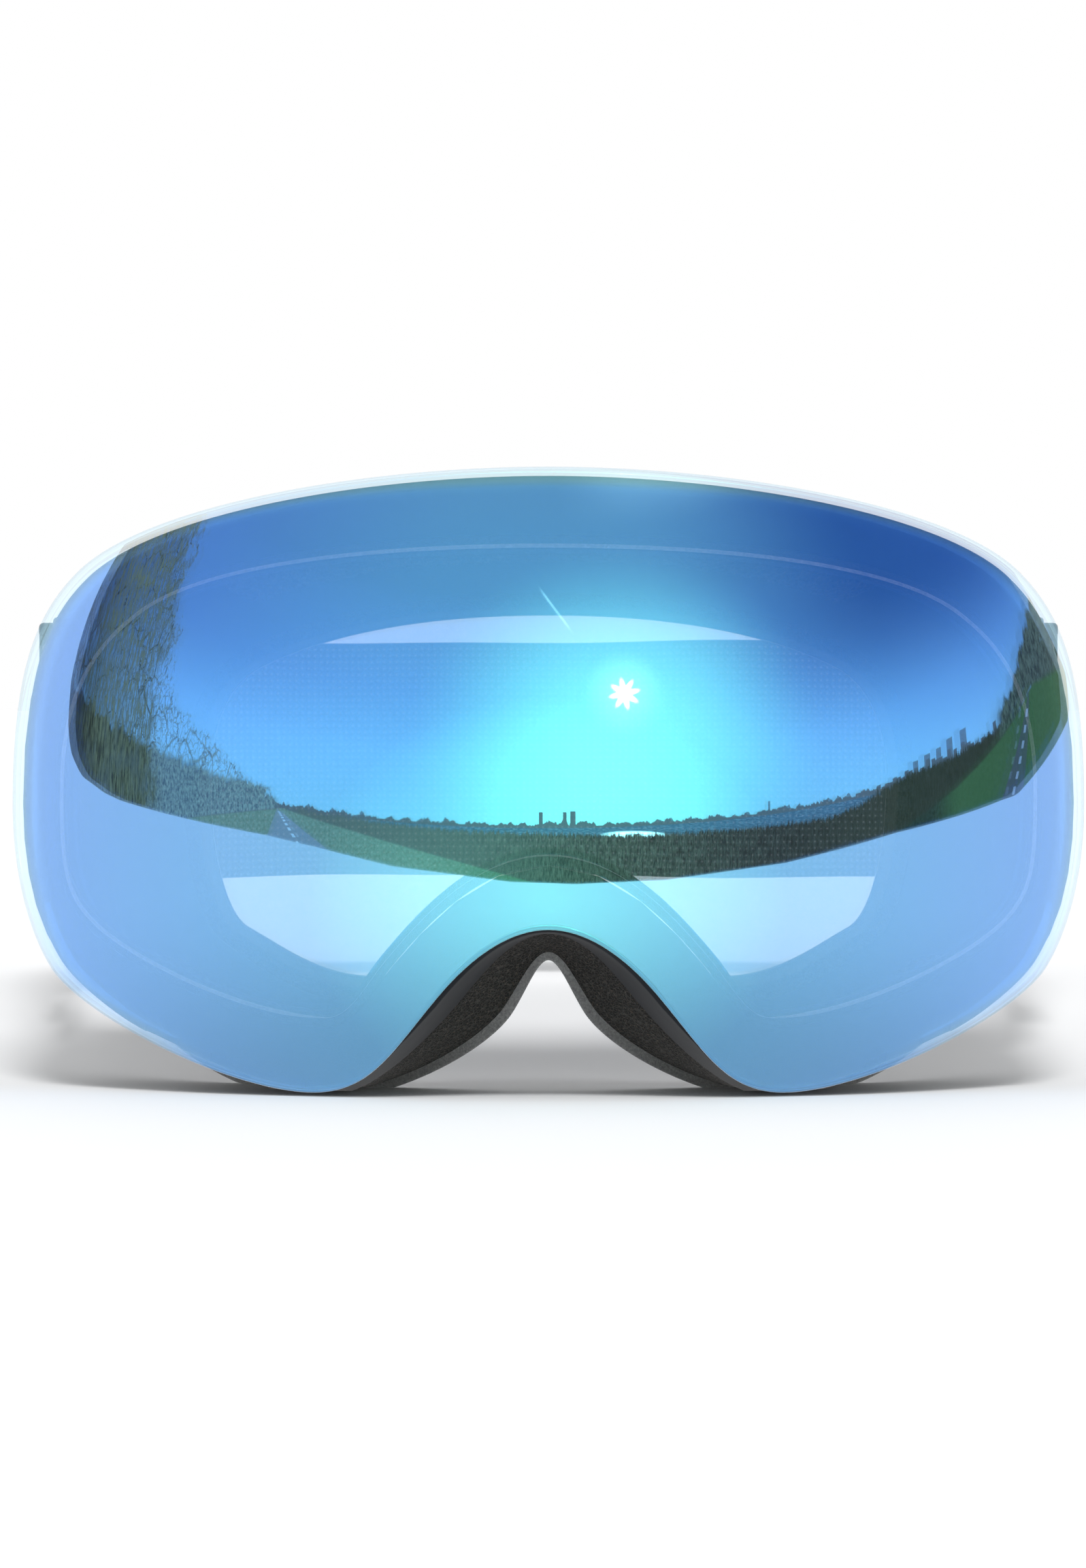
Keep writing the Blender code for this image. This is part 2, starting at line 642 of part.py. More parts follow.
def build_adjuster(side, way, goggles, cutters):
    """A tri-glide: two rails along the strap's edges, two bars outside it and one bar between its layers."""
    outer = STRAP_X + STRAP_THICK / 2 + GAP
    bar_in = CLIP_X - ADJUSTER_SKIN / 2
    middle = (outer + ADJUSTER_SKIN + bar_in) / 2
    wide = outer + ADJUSTER_SKIN - bar_in
    y = ADJUSTER_AT + ADJUSTER_LONG / 2
    rail_z = STRAP_HIGH / 2 + 2 * GAP + ADJUSTER_RAIL / 2
    size = (wide, ADJUSTER_LONG, ADJUSTER_RAIL)
    high, low = (way * middle, y, STRAP_Z + rail_z), (way * middle, y, STRAP_Z - rail_z)
    adjuster = box(f"adjuster_{side}", size, high, goggles, "clip_black", ADJUSTER_ROUND)
    rail = box(f"rail_{side}", size, low, cutters, bevel=ADJUSTER_ROUND)
    boolean(adjuster, rail, "UNION")
    reach = 2 * rail_z + 0.6 * MM
    reaches = (ADJUSTER_LONG - ADJUSTER_BAR) / 2 - 0.4 * MM
    bars = (
        ("front", outer + ADJUSTER_SKIN / 2 - 0.05 * MM, -reaches),
        ("back", outer + ADJUSTER_SKIN / 2 - 0.05 * MM, reaches),
        ("middle", CLIP_X + 0.05 * MM, 0.0),
    )
    for name, x, dy in bars:
        size = (ADJUSTER_SKIN - 0.1 * MM, ADJUSTER_BAR, reach)
        boolean(adjuster, box(f"bar_{name}_{side}", size, (way * x, y + dy, STRAP_Z), cutters), "UNION")
    return adjuster


def hang(name, place, pieces, home):
    """An empty on a joint's axis, with the pieces that the joint moves as its children."""
    empty = bpy.data.objects.new(name, None)
    home.objects.link(empty)
    empty.location = place
    for piece in pieces:
        piece.parent = empty
        piece.matrix_parent_inverse = Matrix.Translation(place).inverted()
    return empty


def main():
    clear_scene()
    goggles, cutters = collection("ski_goggles"), collection("cutters", hidden=True)
    build_lens(goggles, cutters)
    build_frame(goggles, cutters)
    total = 2 * sum(STEPS)
    vent_foam("vent_foam_top", [(k + total) % total for k in range(-7, 8)], goggles)
    low = range(STEPS[0] + STEPS[1] + STEPS[2], STEPS[0] + STEPS[1] + STEPS[2] + 6)
    vent_foam("vent_foam_right", low, goggles)
    vent_foam("vent_foam_left", [total - k for k in low], goggles)
    build_face(goggles)
    swinging = [build_strap(goggles)]
    for side, way in (("left", -1), ("right", 1)):
        swinging.append(build_clip(side, way, goggles))
        build_stud(side, way, goggles, cutters)
        adjuster = build_adjuster(side, way, goggles, cutters)
        track = (way * STRAP_X, ADJUSTER_AT, STRAP_Z)
        swinging.append(hang(f"adjuster_track_{side}", track, [adjuster], goggles))
    hang("strap_axis", (0, STUD_Y, STRAP_Z), swinging, goggles)


main()
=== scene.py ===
import json
import math

import bmesh
import bpy
import numpy as np
from mathutils import Euler, Matrix, Vector


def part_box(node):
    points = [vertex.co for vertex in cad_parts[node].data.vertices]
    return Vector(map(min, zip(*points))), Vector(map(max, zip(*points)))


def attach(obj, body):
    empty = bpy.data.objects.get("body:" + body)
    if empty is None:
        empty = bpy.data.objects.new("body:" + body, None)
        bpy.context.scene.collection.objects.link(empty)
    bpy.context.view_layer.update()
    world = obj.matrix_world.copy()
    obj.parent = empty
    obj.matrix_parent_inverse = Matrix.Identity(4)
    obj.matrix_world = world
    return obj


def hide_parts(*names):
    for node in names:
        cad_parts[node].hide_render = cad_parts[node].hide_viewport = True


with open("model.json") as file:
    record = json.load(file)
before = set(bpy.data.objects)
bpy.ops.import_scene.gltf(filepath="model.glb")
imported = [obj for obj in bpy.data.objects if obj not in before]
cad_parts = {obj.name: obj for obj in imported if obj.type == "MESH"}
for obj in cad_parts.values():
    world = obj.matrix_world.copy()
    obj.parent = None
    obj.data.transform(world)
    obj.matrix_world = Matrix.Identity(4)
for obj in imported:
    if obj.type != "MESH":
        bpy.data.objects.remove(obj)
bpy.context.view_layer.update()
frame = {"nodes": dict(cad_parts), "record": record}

mm = 0.001
gap = 0.3 * mm
lensFront = float(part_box("outer_lens")[0][1])  # y of the lens's apex
joints = frame["record"]["behaviour"]["joints"]
studAt = next(joint["pos_m"] for joint in joints if joint["name"] == "strap_swing")
strapLow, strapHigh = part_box("strap")
strapWide = strapHigh[2] - strapLow[2]
print("frame loaded, lens apex at y =", round(lensFront, 4))

# outlines and surfaces, as the frame has them

lensShape = {
    "across": 104 * mm,  # radius of the horizontal section
    "upright": 150 * mm,  # radius of the vertical section
    "middle": 47 * mm,  # height where the lens stands upright
    "hub": 60 * mm,  # height of the point that its rings close on
    "thick": 1.5 * mm,
}
faceShape = {  # where the face is, and the bell at the bridge of the nose
    "at": 44 * mm,
    "radius": 92 * mm,
    "relief": 7 * mm,
    "spread": 16 * mm,
    "height": 20 * mm,
    "tall": 28 * mm,
}
layers = {  # depths under the front of the outer lens, square to it
    "sealAt": 1.8 * mm,
    "sealEnd": 4.0 * mm,
    "innerAt": 4.3 * mm,
    "innerThick": 1.0 * mm,
    "flangeAt": 4.48 * mm,
    "flangeEnd": 7.28 * mm,
}
facePad = {"fleece": 1.8 * mm, "foam": 12.6 * mm, "frameEnd": 15.0 * mm, "wall": 2.0 * mm}
wallEnd = facePad["frameEnd"] + facePad["wall"]

# sides of an outline between its points, and stations on each side
outlineSteps = [9, 6, 5, 6, 5, 4]
density = 5

# x, z in mm, heading in degrees, reach before, reach after: top centre, shoulder, side, low corner,
# lowest point, side of the nose, bridge
outlines = {
    "lens": [
        (0, 102.0, 0, 0, 30), (77.5, 85.6, -42.6, 15.4, 11.1), (89.0, 46.5, -90, 21.6, 9.5),
        (82.3, 19.8, -124, 8.1, 9.1), (38.5, 0.6, -180, 13.4, 9.5), (18.0, 16.2, -230.6, 12.0, 5.6),
        (0, 27.4, -180, 7.8, 0),
    ],
    "frame": [
        (0, 100.6, 0, 0, 30), (76.4, 84.4, -42.6, 15.2, 11.1), (87.3, 46.5, -90, 21.0, 9.5),
        (80.9, 20.8, -124, 8.1, 9.1), (37.5, -0.9, -180, 13.0, 9.0), (17.4, 15.5, -230.6, 11.4, 5.4),
        (0, 26.8, -180, 7.6, 0),
    ],
    "seal": [
        (0, 89.2, 0, 0, 26), (67.0, 78.6, -36, 14, 9), (80.3, 49.0, -90, 17, 13),
        (73.5, 26.6, -141, 8, 8), (36.0, 12.9, -180, 13, 4), (26.0, 22.6, -230, 5.5, 7.5),
        (0, 39.4, -180, 12, 0),
    ],
    "back": [
        (0, 95.0, 0, 0, 28), (66.5, 80.5, -43, 16, 11), (77.0, 47.0, -90, 18, 11),
        (69.5, 16.5, -128, 9, 10), (37.0, -1.0, -180, 15, 8), (14.2, 15.3, -230, 9, 5),
        (0, 26.2, -180, 6, 0),
    ],
    "foam": [
        (0, 93.6, 0, 0, 27), (65.0, 79.0, -43, 16, 11), (75.6, 47.0, -90, 18, 11),
        (69.0, 15.0, -125, 9, 11), (38.0, -1.0, -180, 12, 13), (6.6, 13.6, -237, 7, 4.5),
        (0, 22.4, -180, 2.2, 0),
    ],
    "aperture": [
        (0, 78.1, 0, 0, 20), (47.5, 69.6, -26, 13, 6), (56.5, 50.0, -90, 11, 9),
        (50.0, 26.2, -152, 5, 7), (29.0, 18.4, -180, 9, 4), (16.0, 26.6, -228, 5, 6),
        (0, 36.0, -180, 8, 0),
    ],
}


# a Bezier for each pair of points, then the mirrored half, nothing below the floor
def outline(name):
    knots = outlines[name]
    pieces = []
    for (x0, z0, way0, _, out), (x1, z1, way1, back, _), n in zip(knots, knots[1:], outlineSteps):
        t = np.linspace(0, 1, n * density, endpoint=False)[:, None]
        a, d = np.array([x0, z0], float), np.array([x1, z1], float)
        b = a + out * np.array([math.cos(math.radians(way0)), math.sin(math.radians(way0))])
        c = d - back * np.array([math.cos(math.radians(way1)), math.sin(math.radians(way1))])
        pieces.append((1 - t) ** 3 * a + 3 * t * (1 - t) ** 2 * b + 3 * t * t * (1 - t) * c + t**3 * d)
    half = np.concatenate(pieces + [np.array([knots[-1][:2]], float)]) * mm
    whole = np.concatenate([half, half[-2:0:-1] * (-1, 1)])
    whole[:, 1] = np.maximum(whole[:, 1], 0)
    return whole


def between(inner, outer, share):
    found = inner + (outer - inner) * share
    found[:, 1] = np.maximum(found[:, 1], 0)
    return found


edge, frameEdge, sealLine = outline("lens"), outline("frame"), outline("seal")
# the front of the frame keeps behind the lens at the feet
lift = np.maximum(edge[:, 1] + 0.4 * mm - frameEdge[:, 1], 0)
frameEdge[:, 1] += lift * np.clip((15 * mm - edge[:, 1]) / (7 * mm), 0, 1)
backLine, foamLine, aperture = outline("back"), outline("foam"), outline("aperture")
stations = len(edge)


# a circle turned about an upright axis, a depth under its front
def lensY(x, z, under):
    across = lensShape["across"] - lensShape["upright"]
    across = across + np.sqrt((lensShape["upright"] - under) ** 2 - (z - lensShape["middle"]) ** 2)
    return lensFront + lensShape["across"] - np.sqrt(across**2 - x**2)


# unit vectors out of the lens's front: radial in plan, leaning with height
def lensNormals(points, under=0.0):
    rise = (points[:, 2] - lensShape["middle"]) / (lensShape["upright"] - under)
    flat = np.column_stack([points[:, 0], points[:, 1] - lensFront - lensShape["across"]])
    flat = flat / np.linalg.norm(flat, axis=1)[:, None] * np.sqrt(1 - rise**2)[:, None]
    return np.column_stack([flat, rise])


# an upright cylinder round the face, pushed forward by a bell at the bridge of the nose
def faceY(x, z, ahead):
    across, upright = x / faceShape["spread"], (z - faceShape["height"]) / faceShape["tall"]
    bell = np.exp(-(across**2) - upright**2)
    curve = faceShape["radius"] - np.sqrt(faceShape["radius"] ** 2 - x**2)
    return lensFront + faceShape["at"] + curve - faceShape["relief"] * bell - ahead


def onLens(flat, under):
    return np.column_stack([flat[:, 0], lensY(flat[:, 0], flat[:, 1], under), flat[:, 1]])


def onFace(flat, ahead):
    return np.column_stack([flat[:, 0], faceY(flat[:, 0], flat[:, 1], ahead), flat[:, 1]])


# meshes


def addPiece(name, mesh, smoothAngle=40):
    mesh.shade_smooth()
    mesh.set_sharp_from_angle(angle=math.radians(smoothAngle))
    piece = bpy.data.objects.new(name, mesh)
    bpy.context.scene.collection.objects.link(piece)
    return piece


def meshFrom(bm, name):
    mesh = bpy.data.meshes.new(name)
    bm.to_mesh(mesh)
    bm.free()
    return mesh


# quads and triangles into a mesh, turned outwards by the sign of its volume
def meshPiece(name, points, quads, tris=None, uv=None, smoothAngle=40):
    quads = np.asarray(quads, np.int32).reshape(-1, 4)
    tris = np.zeros((0, 3), np.int32) if tris is None else np.asarray(tris, np.int32).reshape(-1, 3)
    split = np.concatenate([quads[:, [0, 1, 2]], quads[:, [0, 2, 3]], tris])
    a, b, c = (points[split[:, k]] for k in range(3))
    if np.einsum("ij,ij->i", a, np.cross(b, c)).sum() < 0:
        quads, tris = quads[:, ::-1], tris[:, ::-1]
    mesh = bpy.data.meshes.new(name)
    mesh.from_pydata(points.tolist(), [], quads.tolist() + tris.tolist())
    if uv is not None:
        layer = mesh.uv_layers.new(name="cloth")
        corners = np.empty(len(mesh.loops), np.int32)
        mesh.loops.foreach_get("vertex_index", corners)
        layer.data.foreach_set("uv", uv[corners].astype(np.float32).ravel())
    return addPiece(name, mesh, smoothAngle)


# quads between neighbouring loops of a loft
def gridQuads(rows, columns, closeRows=False):
    i = np.arange(rows if closeRows else rows - 1)[:, None]
    j = np.arange(columns)[None, :]
    nextRow, nextColumn = (i + 1) % rows, (j + 1) % columns
    here, there = i * columns, nextRow * columns
    corners = [here + j, here + nextColumn, there + nextColumn, there + j]
    return np.stack([np.broadcast_to(c, (len(i), j.shape[1])) for c in corners], axis=-1).reshape(-1, 4)


# two fans of triangles, from the first and the last loop of a loft to the two points that follow its loops
def endFans(rows, columns):
    j, last, tip = np.arange(columns), (rows - 1) * columns, rows * columns
    ahead = (j + 1) % columns
    first = np.column_stack([np.full(columns, tip), ahead, j])
    return np.concatenate([first, np.column_stack([np.full(columns, tip + 1), last + j, last + ahead])])


# each corner of a section becomes a parabola that starts and ends a radius away from it
def roundCorners(corners, radii, steps=4):
    ahead, behind = np.roll(corners, -1, axis=1) - corners, np.roll(corners, 1, axis=1) - corners
    longAhead, longBehind = (np.linalg.norm(d, axis=2, keepdims=True) for d in (ahead, behind))
    reach = np.asarray(radii)[None, :, None]
    start = corners + behind / longBehind * np.minimum(reach, 0.45 * longBehind)
    end = corners + ahead / longAhead * np.minimum(reach, 0.45 * longAhead)
    t = np.linspace(0, 1, steps)[None, None, :, None]
    curve = (1 - t) ** 2 * start[:, :, None] + 2 * t * (1 - t) * corners[:, :, None] + t * t * end[:, :, None]
    return curve.reshape(len(corners), -1, 3)


# a hoop: loops of corner points, rounded, joined all the way round
def hoopPiece(name, loops, radii, steps=4, relief=None):
    section = roundCorners(np.stack(loops, axis=1), radii, steps)
    count = section.shape[1]
    points = section.reshape(-1, 3)
    if relief is not None:
        points = relief(points)
    return meshPiece(name, points, gridQuads(stations, count, closeRows=True), smoothAngle=50)


# a flat plate from loops of (y, z), square to x, with rounded edges
def platePiece(name, loops, thick, place, bevel):
    curve = bpy.data.curves.new(name, "CURVE")
    curve.dimensions = "2D"
    curve.fill_mode = "BOTH"
    curve.extrude = thick / 2 - bevel
    curve.bevel_depth = bevel
    curve.bevel_resolution = 2
    curve.offset = -bevel
    for loop in loops:
        spline = curve.splines.new("POLY")
        spline.points.add(len(loop) - 1)
        for point, (u, v) in zip(spline.points, loop):
            point.co = (u, v, 0, 1)
        spline.use_cyclic_u = True
    drawn = bpy.data.objects.new(name, curve)
    bpy.context.scene.collection.objects.link(drawn)
    bpy.context.view_layer.update()
    mesh = bpy.data.meshes.new_from_object(drawn.evaluated_get(bpy.context.evaluated_depsgraph_get()))
    bpy.data.objects.remove(drawn)
    upright = Matrix(((0, 0, 1, 0), (1, 0, 0, 0), (0, 1, 0, 0), (0, 0, 0, 1)))
    mesh.transform(Matrix.Translation(place) @ upright)
    bm = bmesh.new()
    bm.from_mesh(mesh)
    bmesh.ops.remove_doubles(bm, verts=bm.verts, dist=0.01 * mm)
    bmesh.ops.recalc_face_normals(bm, faces=bm.faces)
    bpy.data.meshes.remove(mesh)
    return addPiece(name, meshFrom(bm, name))


def boxPiece(name, size, place, bevel):
    bm = bmesh.new()
    bmesh.ops.create_cube(bm, size=1)
    bmesh.ops.scale(bm, vec=size, verts=bm.verts)
    bmesh.ops.bevel(bm, geom=bm.edges, offset=bevel, segments=3, profile=0.5, affect="EDGES")
    bmesh.ops.translate(bm, vec=place, verts=bm.verts)
    return addPiece(name, meshFrom(bm, name))


# a profile of (distance along x, radius) turned about an axis parallel to x; way is 1 or -1
def turnedPiece(name, profile, place, way, sides=64):
    profile = np.array(profile, float)
    turns = np.linspace(0, 2 * math.pi, sides, endpoint=False)
    ring = np.stack([np.cos(turns), np.sin(turns)], axis=1)
    points = np.empty((len(profile), sides, 3))
    points[:, :, 0] = place[0] + way * profile[:, 0, None]
    points[:, :, 1:] = np.array(place[1:]) + profile[:, 1, None, None] * ring[None]
    count = len(profile)
    ends = np.array([[place[0] + way * x, *place[1:]] for x in profile[[0, -1], 0]])
    points = np.concatenate([points.reshape(-1, 3), ends])
    return meshPiece(name, points, gridQuads(count, sides), endFans(count, sides), smoothAngle=35)


# many pieces as one mesh
def joined(name, pieces):
    bm = bmesh.new()
    for piece in pieces:
        bm.from_mesh(piece.data)
        bpy.data.objects.remove(piece)
    return addPiece(name, meshFrom(bm, name))


def applyBoolean(piece, tool, operation, smoothAngle=40):
    change = piece.modifiers.new(operation.lower(), "BOOLEAN")
    change.object = tool
    change.operation = operation
    bpy.context.view_layer.update()
    mesh = bpy.data.meshes.new_from_object(piece.evaluated_get(bpy.context.evaluated_depsgraph_get()))
    piece.modifiers.clear()
    piece.data = mesh
    bpy.data.objects.remove(tool)
    mesh.shade_smooth()
    mesh.set_sharp_from_angle(angle=math.radians(smoothAngle))
    return piece


def arc(centre, radius, start, end, steps):
    turns = np.radians(np.linspace(start, end, steps + 1))
    return [(centre[0] + radius * math.cos(t), centre[1] + radius * math.sin(t)) for t in turns]


# shader maths


def operator(operation):
    return lambda self, *other: self.maths(operation, *other)


class Socket:
    def __init__(self, tree, link):
        self.tree, self.link = tree, link

    def maths(self, operation, *others):
        node = self.tree.nodes.new("ShaderNodeMath")
        node.operation = operation
        for slot, value in zip(node.inputs, (self, *others)):
            feed(self.tree, slot, value)
        return Socket(self.tree, node.outputs[0])

    __add__ = __radd__ = operator("ADD")
    __mul__ = __rmul__ = operator("MULTIPLY")
    __sub__ = operator("SUBTRACT")
    __truediv__ = operator("DIVIDE")
    __pow__ = operator("POWER")
    __gt__ = operator("GREATER_THAN")
    __lt__ = operator("LESS_THAN")
    __abs__ = operator("ABSOLUTE")

    def __neg__(self):
        return self * -1

    def __rsub__(self, other):
        return (-self).maths("ADD", other)

    def __rtruediv__(self, other):
        return (self**-1) * other

    # 0 at low, 1 at high, held outside, easing in and out between them
    def fade(self, low, high):
        node = self.tree.nodes.new("ShaderNodeMapRange")
        node.interpolation_type = "SMOOTHSTEP"
        for slot, value in zip(node.inputs, (self, low, high, 0, 1)):
            feed(self.tree, slot, value)
        return Socket(self.tree, node.outputs[0])


def feed(tree, slot, value):
    if isinstance(value, Socket):
        tree.links.new(value.link, slot)
    elif isinstance(value, (tuple, list)) and len(value) == 3 and slot.type == "RGBA":
        slot.default_value = (*value, 1)
    else:
        slot.default_value = value


class Nodes:
    def __init__(self, tree):
        self.tree = tree

    # type, its settings, the values or links of its sockets, and the output wanted
    def node(self, kind, settings=None, sockets=None, out=0):
        made = self.tree.nodes.new("ShaderNode" + kind)
        for key, value in (settings or {}).items():
            if key == "stops":
                ramp = made.color_ramp
                while len(ramp.elements) < len(value):
                    ramp.elements.new(0.5)
                for element, (place, colour) in zip(ramp.elements, value):
                    element.position = place
                    element.color = (*colour, 1)
            else:
                setattr(made, key, value)
        for key, value in (sockets or {}).items():
            feed(self.tree, made.inputs[key], value)
        return Socket(self.tree, made.outputs[out])

    def mix(self, share, first, second):
        made = self.tree.nodes.new("ShaderNodeMix")
        made.data_type = "RGBA"
        for key, value in ((0, share), (6, first), (7, second)):
            feed(self.tree, made.inputs[key], value)
        return Socket(self.tree, made.outputs[2])

    def vector(self, operation, *values):
        made = self.tree.nodes.new("ShaderNodeVectorMath")
        made.operation = operation
        for slot, value in zip(made.inputs, values):
            feed(self.tree, slot, value)
        return Socket(self.tree, made.outputs[0])

    def place(self):
        return self.node("TexCoord", out="Object")

    def parts(self, vector):
        made = self.tree.nodes.new("ShaderNodeSeparateXYZ")
        feed(self.tree, made.inputs[0], vector)
        return [Socket(self.tree, made.outputs[k]) for k in range(3)]

    def noise(self, scale, detail=3.0, roughness=0.5, vector=None, distortion=0.0):
        sockets = {"Scale": scale, "Detail": detail, "Roughness": roughness, "Distortion": distortion}
        sockets["Vector"] = vector or self.place()
        return self.node("TexNoise", sockets=sockets)

    def ramp(self, factor, *stops):
        return self.node("ValToRGB", {"stops": stops}, {"Fac": factor})

    def bump(self, height, strength, distance):
        sockets = {"Height": height, "Strength": strength, "Distance": distance}
        return self.node("Bump", sockets=sockets)


# a material from a function that returns the shader's sockets
def finish(name, build, **fixed):
    material = bpy.data.materials.new(name)
    material.use_nodes = True
    nodes = Nodes(material.node_tree)
    shader = material.node_tree.nodes["Principled BSDF"]
    for key, value in {**fixed, **build(nodes)}.items():
        feed(material.node_tree, shader.inputs[key.replace("_", " ")], value)
    return material


def dress(piece, *materials):
    slots = piece.data.materials
    slots.clear()
    for material in materials:
        slots.append(material)
    return piece


# materials


mirror = {
    # the coat is one blue; nose, middle and side set a change from cyan at the nose to deep blue at the
    # sides, painted reflection colour in place of the coat's change with the angle of view
    "nose": (0.27, 0.88, 1.0),
    "middle": (0.19, 0.48, 0.78),
    "side": (0.24, 0.44, 0.86),
    # rim: pale colour at the lens's edge, painted light from the backdrop coming through the overhang
    "rim": (0.48, 0.74, 0.88),
    "shown": 0.5,  # share of the light that comes off the coat, and the rest comes through
    "shownAtRim": 0.24,
    "behind": 0.035,
    "roughness": 0.012,
}


def mirrorPaintedLightNodes(n):
    x, _, z = n.parts(n.place())
    away = (x * x + (z - 0.032) * (z - 0.032) * 1.4).maths("SQRT")
    drift = n.noise(14, 2, 0.5) * 0.006
    # cyan at the nose to deep blue at the sides: painted reflection colour, placed by position
    stops = (0.05, mirror["nose"]), (0.42, mirror["middle"]), (0.95, mirror["side"])
    colour = n.ramp((away + drift) / 0.1, *stops)
    grain = n.noise(5200, 2, 0.6)
    colour = n.mix(grain.fade(0.45, 0.8) * 0.12, colour, (0.55, 0.85, 1.0))
    # paler towards the rim: painted light from the backdrop coming through the lens's edge
    rim = n.node("Attribute", {"attribute_name": "rim"}, out="Fac")
    colour = n.mix(rim.fade(0.3, 1.0), mirror["rim"], colour)
    smear = n.noise(60, 4, 0.6).fade(0.5, 0.8)
    return {
        "Base Color": colour,
        "Roughness": smear * 0.02 + mirror["roughness"],
        "Alpha": (mirror["shown"] - mirror["shownAtRim"]) * rim.fade(0.4, 1.0) + mirror["shownAtRim"],
    }


def backWallNodes(n):
    smear = n.noise(60, 4, 0.6).fade(0.5, 0.8)
    return {"Roughness": smear * 0.05 + 0.04, "Alpha": smear * 0.02 + mirror["behind"]}


def innerLensNodes(n):
    smear = n.noise(45, 4, 0.6).fade(0.45, 0.8)
    return {"Roughness": smear * 0.08 + 0.06, "Alpha": smear * 0.02 + 0.03}


def mouldedNodes(base, rough, grain=3800, depth=0.00004):
    def build(n):
        fine = n.noise(grain, 2, 0.6)
        broad = n.noise(90, 3, 0.6)
        scuff = n.noise(420, 5, 0.7, distortion=0.6).fade(0.62, 0.78)
        colour = n.mix(broad.fade(0.3, 0.7) * 0.35, base, tuple(1.7 * c for c in base))
        colour = n.mix(scuff * 0.25, colour, tuple(min(1, 3.2 * c + 0.02) for c in base))
        return {
            "Base Color": colour,
            "Roughness": fine * 0.1 + scuff * 0.12 + (rough - 0.05),
            "Normal": n.bump(fine, 0.35, depth),
        }

    return build


def foamNodes(dark, light, cell, depth):
    def build(n):
        cells = n.node("TexVoronoi", {"feature": "DISTANCE_TO_EDGE"}, {"Vector": n.place(), "Scale": cell})
        small = n.node("TexVoronoi", {}, {"Vector": n.place(), "Scale": cell * 1.9})
        # 1 on the struts, 0 in the pores
        strutsAndShadedPores = 1 - cells.fade(0.02, 0.22)
        broad = n.noise(110, 4, 0.6)
        fleck = n.noise(cell * 1.5, 3, 0.75).fade(0.54, 0.68)
        # struts lighter than the pores: the pores' darker colour is painted shade in the holes, over the
        # foam's own charcoal, with random tone over it
        colour = n.mix(strutsAndShadedPores * 0.6 + broad.fade(0.3, 0.75) * 0.25, dark, light)
        warm = tuple(min(1, (2.6 - 0.4 * k) * c + 0.03) for k, c in enumerate(light))
        colour = n.mix(fleck * 0.6, colour, warm)
        return {
            "Base Color": colour,
            "Roughness": 0.98 - strutsAndShadedPores * 0.1,
            "Normal": n.bump(strutsAndShadedPores * 0.7 + small * 0.4, 0.8, depth),
        }

    return build


def fleeceNodes(n):
    nap = n.noise(2600, 4, 0.75)
    tuft = n.noise(620, 3, 0.65, distortion=1.2)
    broad = n.noise(70, 3, 0.6)
    colour = n.mix(nap.fade(0.3, 0.75), (0.22, 0.22, 0.22), (0.56, 0.56, 0.55))
    colour = n.mix(tuft.fade(0.35, 0.7) * 0.5, colour, (0.40, 0.40, 0.395))
    colour = n.mix(broad.fade(0.4, 0.7) * 0.2, colour, (0.18, 0.18, 0.183))
    return {"Base Color": colour, "Normal": n.bump(nap * 0.5 + tuft * 0.8, 0.7, 0.00025)}


webbing = {
    "pitch": 1.15 * mm,  # between ribs, along the strap and across it
    "yarn": (0.030, 0.032, 0.040),
    # light: the colour at the rib crests, a painted highlight
    "light": (0.085, 0.090, 0.105),
    "dot": (0.30, 0.32, 0.34),
    "stripe": (0.012, 0.013, 0.017),
}


# along and across are metres on the strap, from its own map; the inner side has across above 1
def webbingNodes(n):
    along, across, _ = n.parts(n.node("UVMap", {"uv_map": "cloth"}))
    inside = across > 0.5
    across = across - inside
    turn = 2 * math.pi / webbing["pitch"]
    rib = (along * turn).maths("SINE") * 0.5 + 0.5
    cross = (across * turn).maths("SINE") * 0.5 + 0.5
    twill = ((along + across) * (turn * 0.5)).maths("SINE") * 0.5 + 0.5
    fuzz = n.noise(1900, 3, 0.7)
    weave = rib * cross
    border = abs(abs(across) - 0.0175).fade(0.0006, 0.0009)
    # rib crests lighter: a painted highlight, with random tone from the fuzz
    colour = n.mix(weave * 0.75 + fuzz * 0.2, webbing["yarn"], webbing["light"])
    colour = n.mix((1 - border) * (1 - inside), colour, webbing["stripe"])
    dots = (weave.fade(0.72, 0.95)) * inside
    colour = n.mix(dots * 0.8, colour, webbing["dot"])
    height = weave * 0.6 + twill * 0.3 + fuzz * 0.3 - (1 - border) * 0.5
    return {
        "Base Color": colour,
        "Roughness": 0.92 - weave * 0.14,
        "Normal": n.bump(height, 0.75, 0.0003),
    }


def threadNodes(n):
    twist = n.noise(3000, 2, 0.6)
    colour = n.mix(twist, (0.05, 0.052, 0.06), (0.16, 0.165, 0.18))
    return {"Base Color": colour, "Normal": n.bump(twist, 0.5, 0.0001)}


def metalNodes(dark, light, rough):
    def build(n):
        streak = n.noise(900, 4, 0.7)
        colour = n.mix(streak, dark, light)
        normal = n.bump(streak, 0.15, 0.00002)
        return {"Base Color": colour, "Roughness": streak * 0.16 + rough, "Normal": normal}

    return build


# pale grey for the bead along the seal: a painted highlight
def paintedHighlightNodes(n):
    cell = n.noise(1800, 3, 0.6)
    grey = n.mix(cell.fade(0.3, 0.7), (0.50, 0.52, 0.54), (0.72, 0.74, 0.76))
    return {"Base Color": grey, "Normal": n.bump(cell, 0.4, 0.00005)}


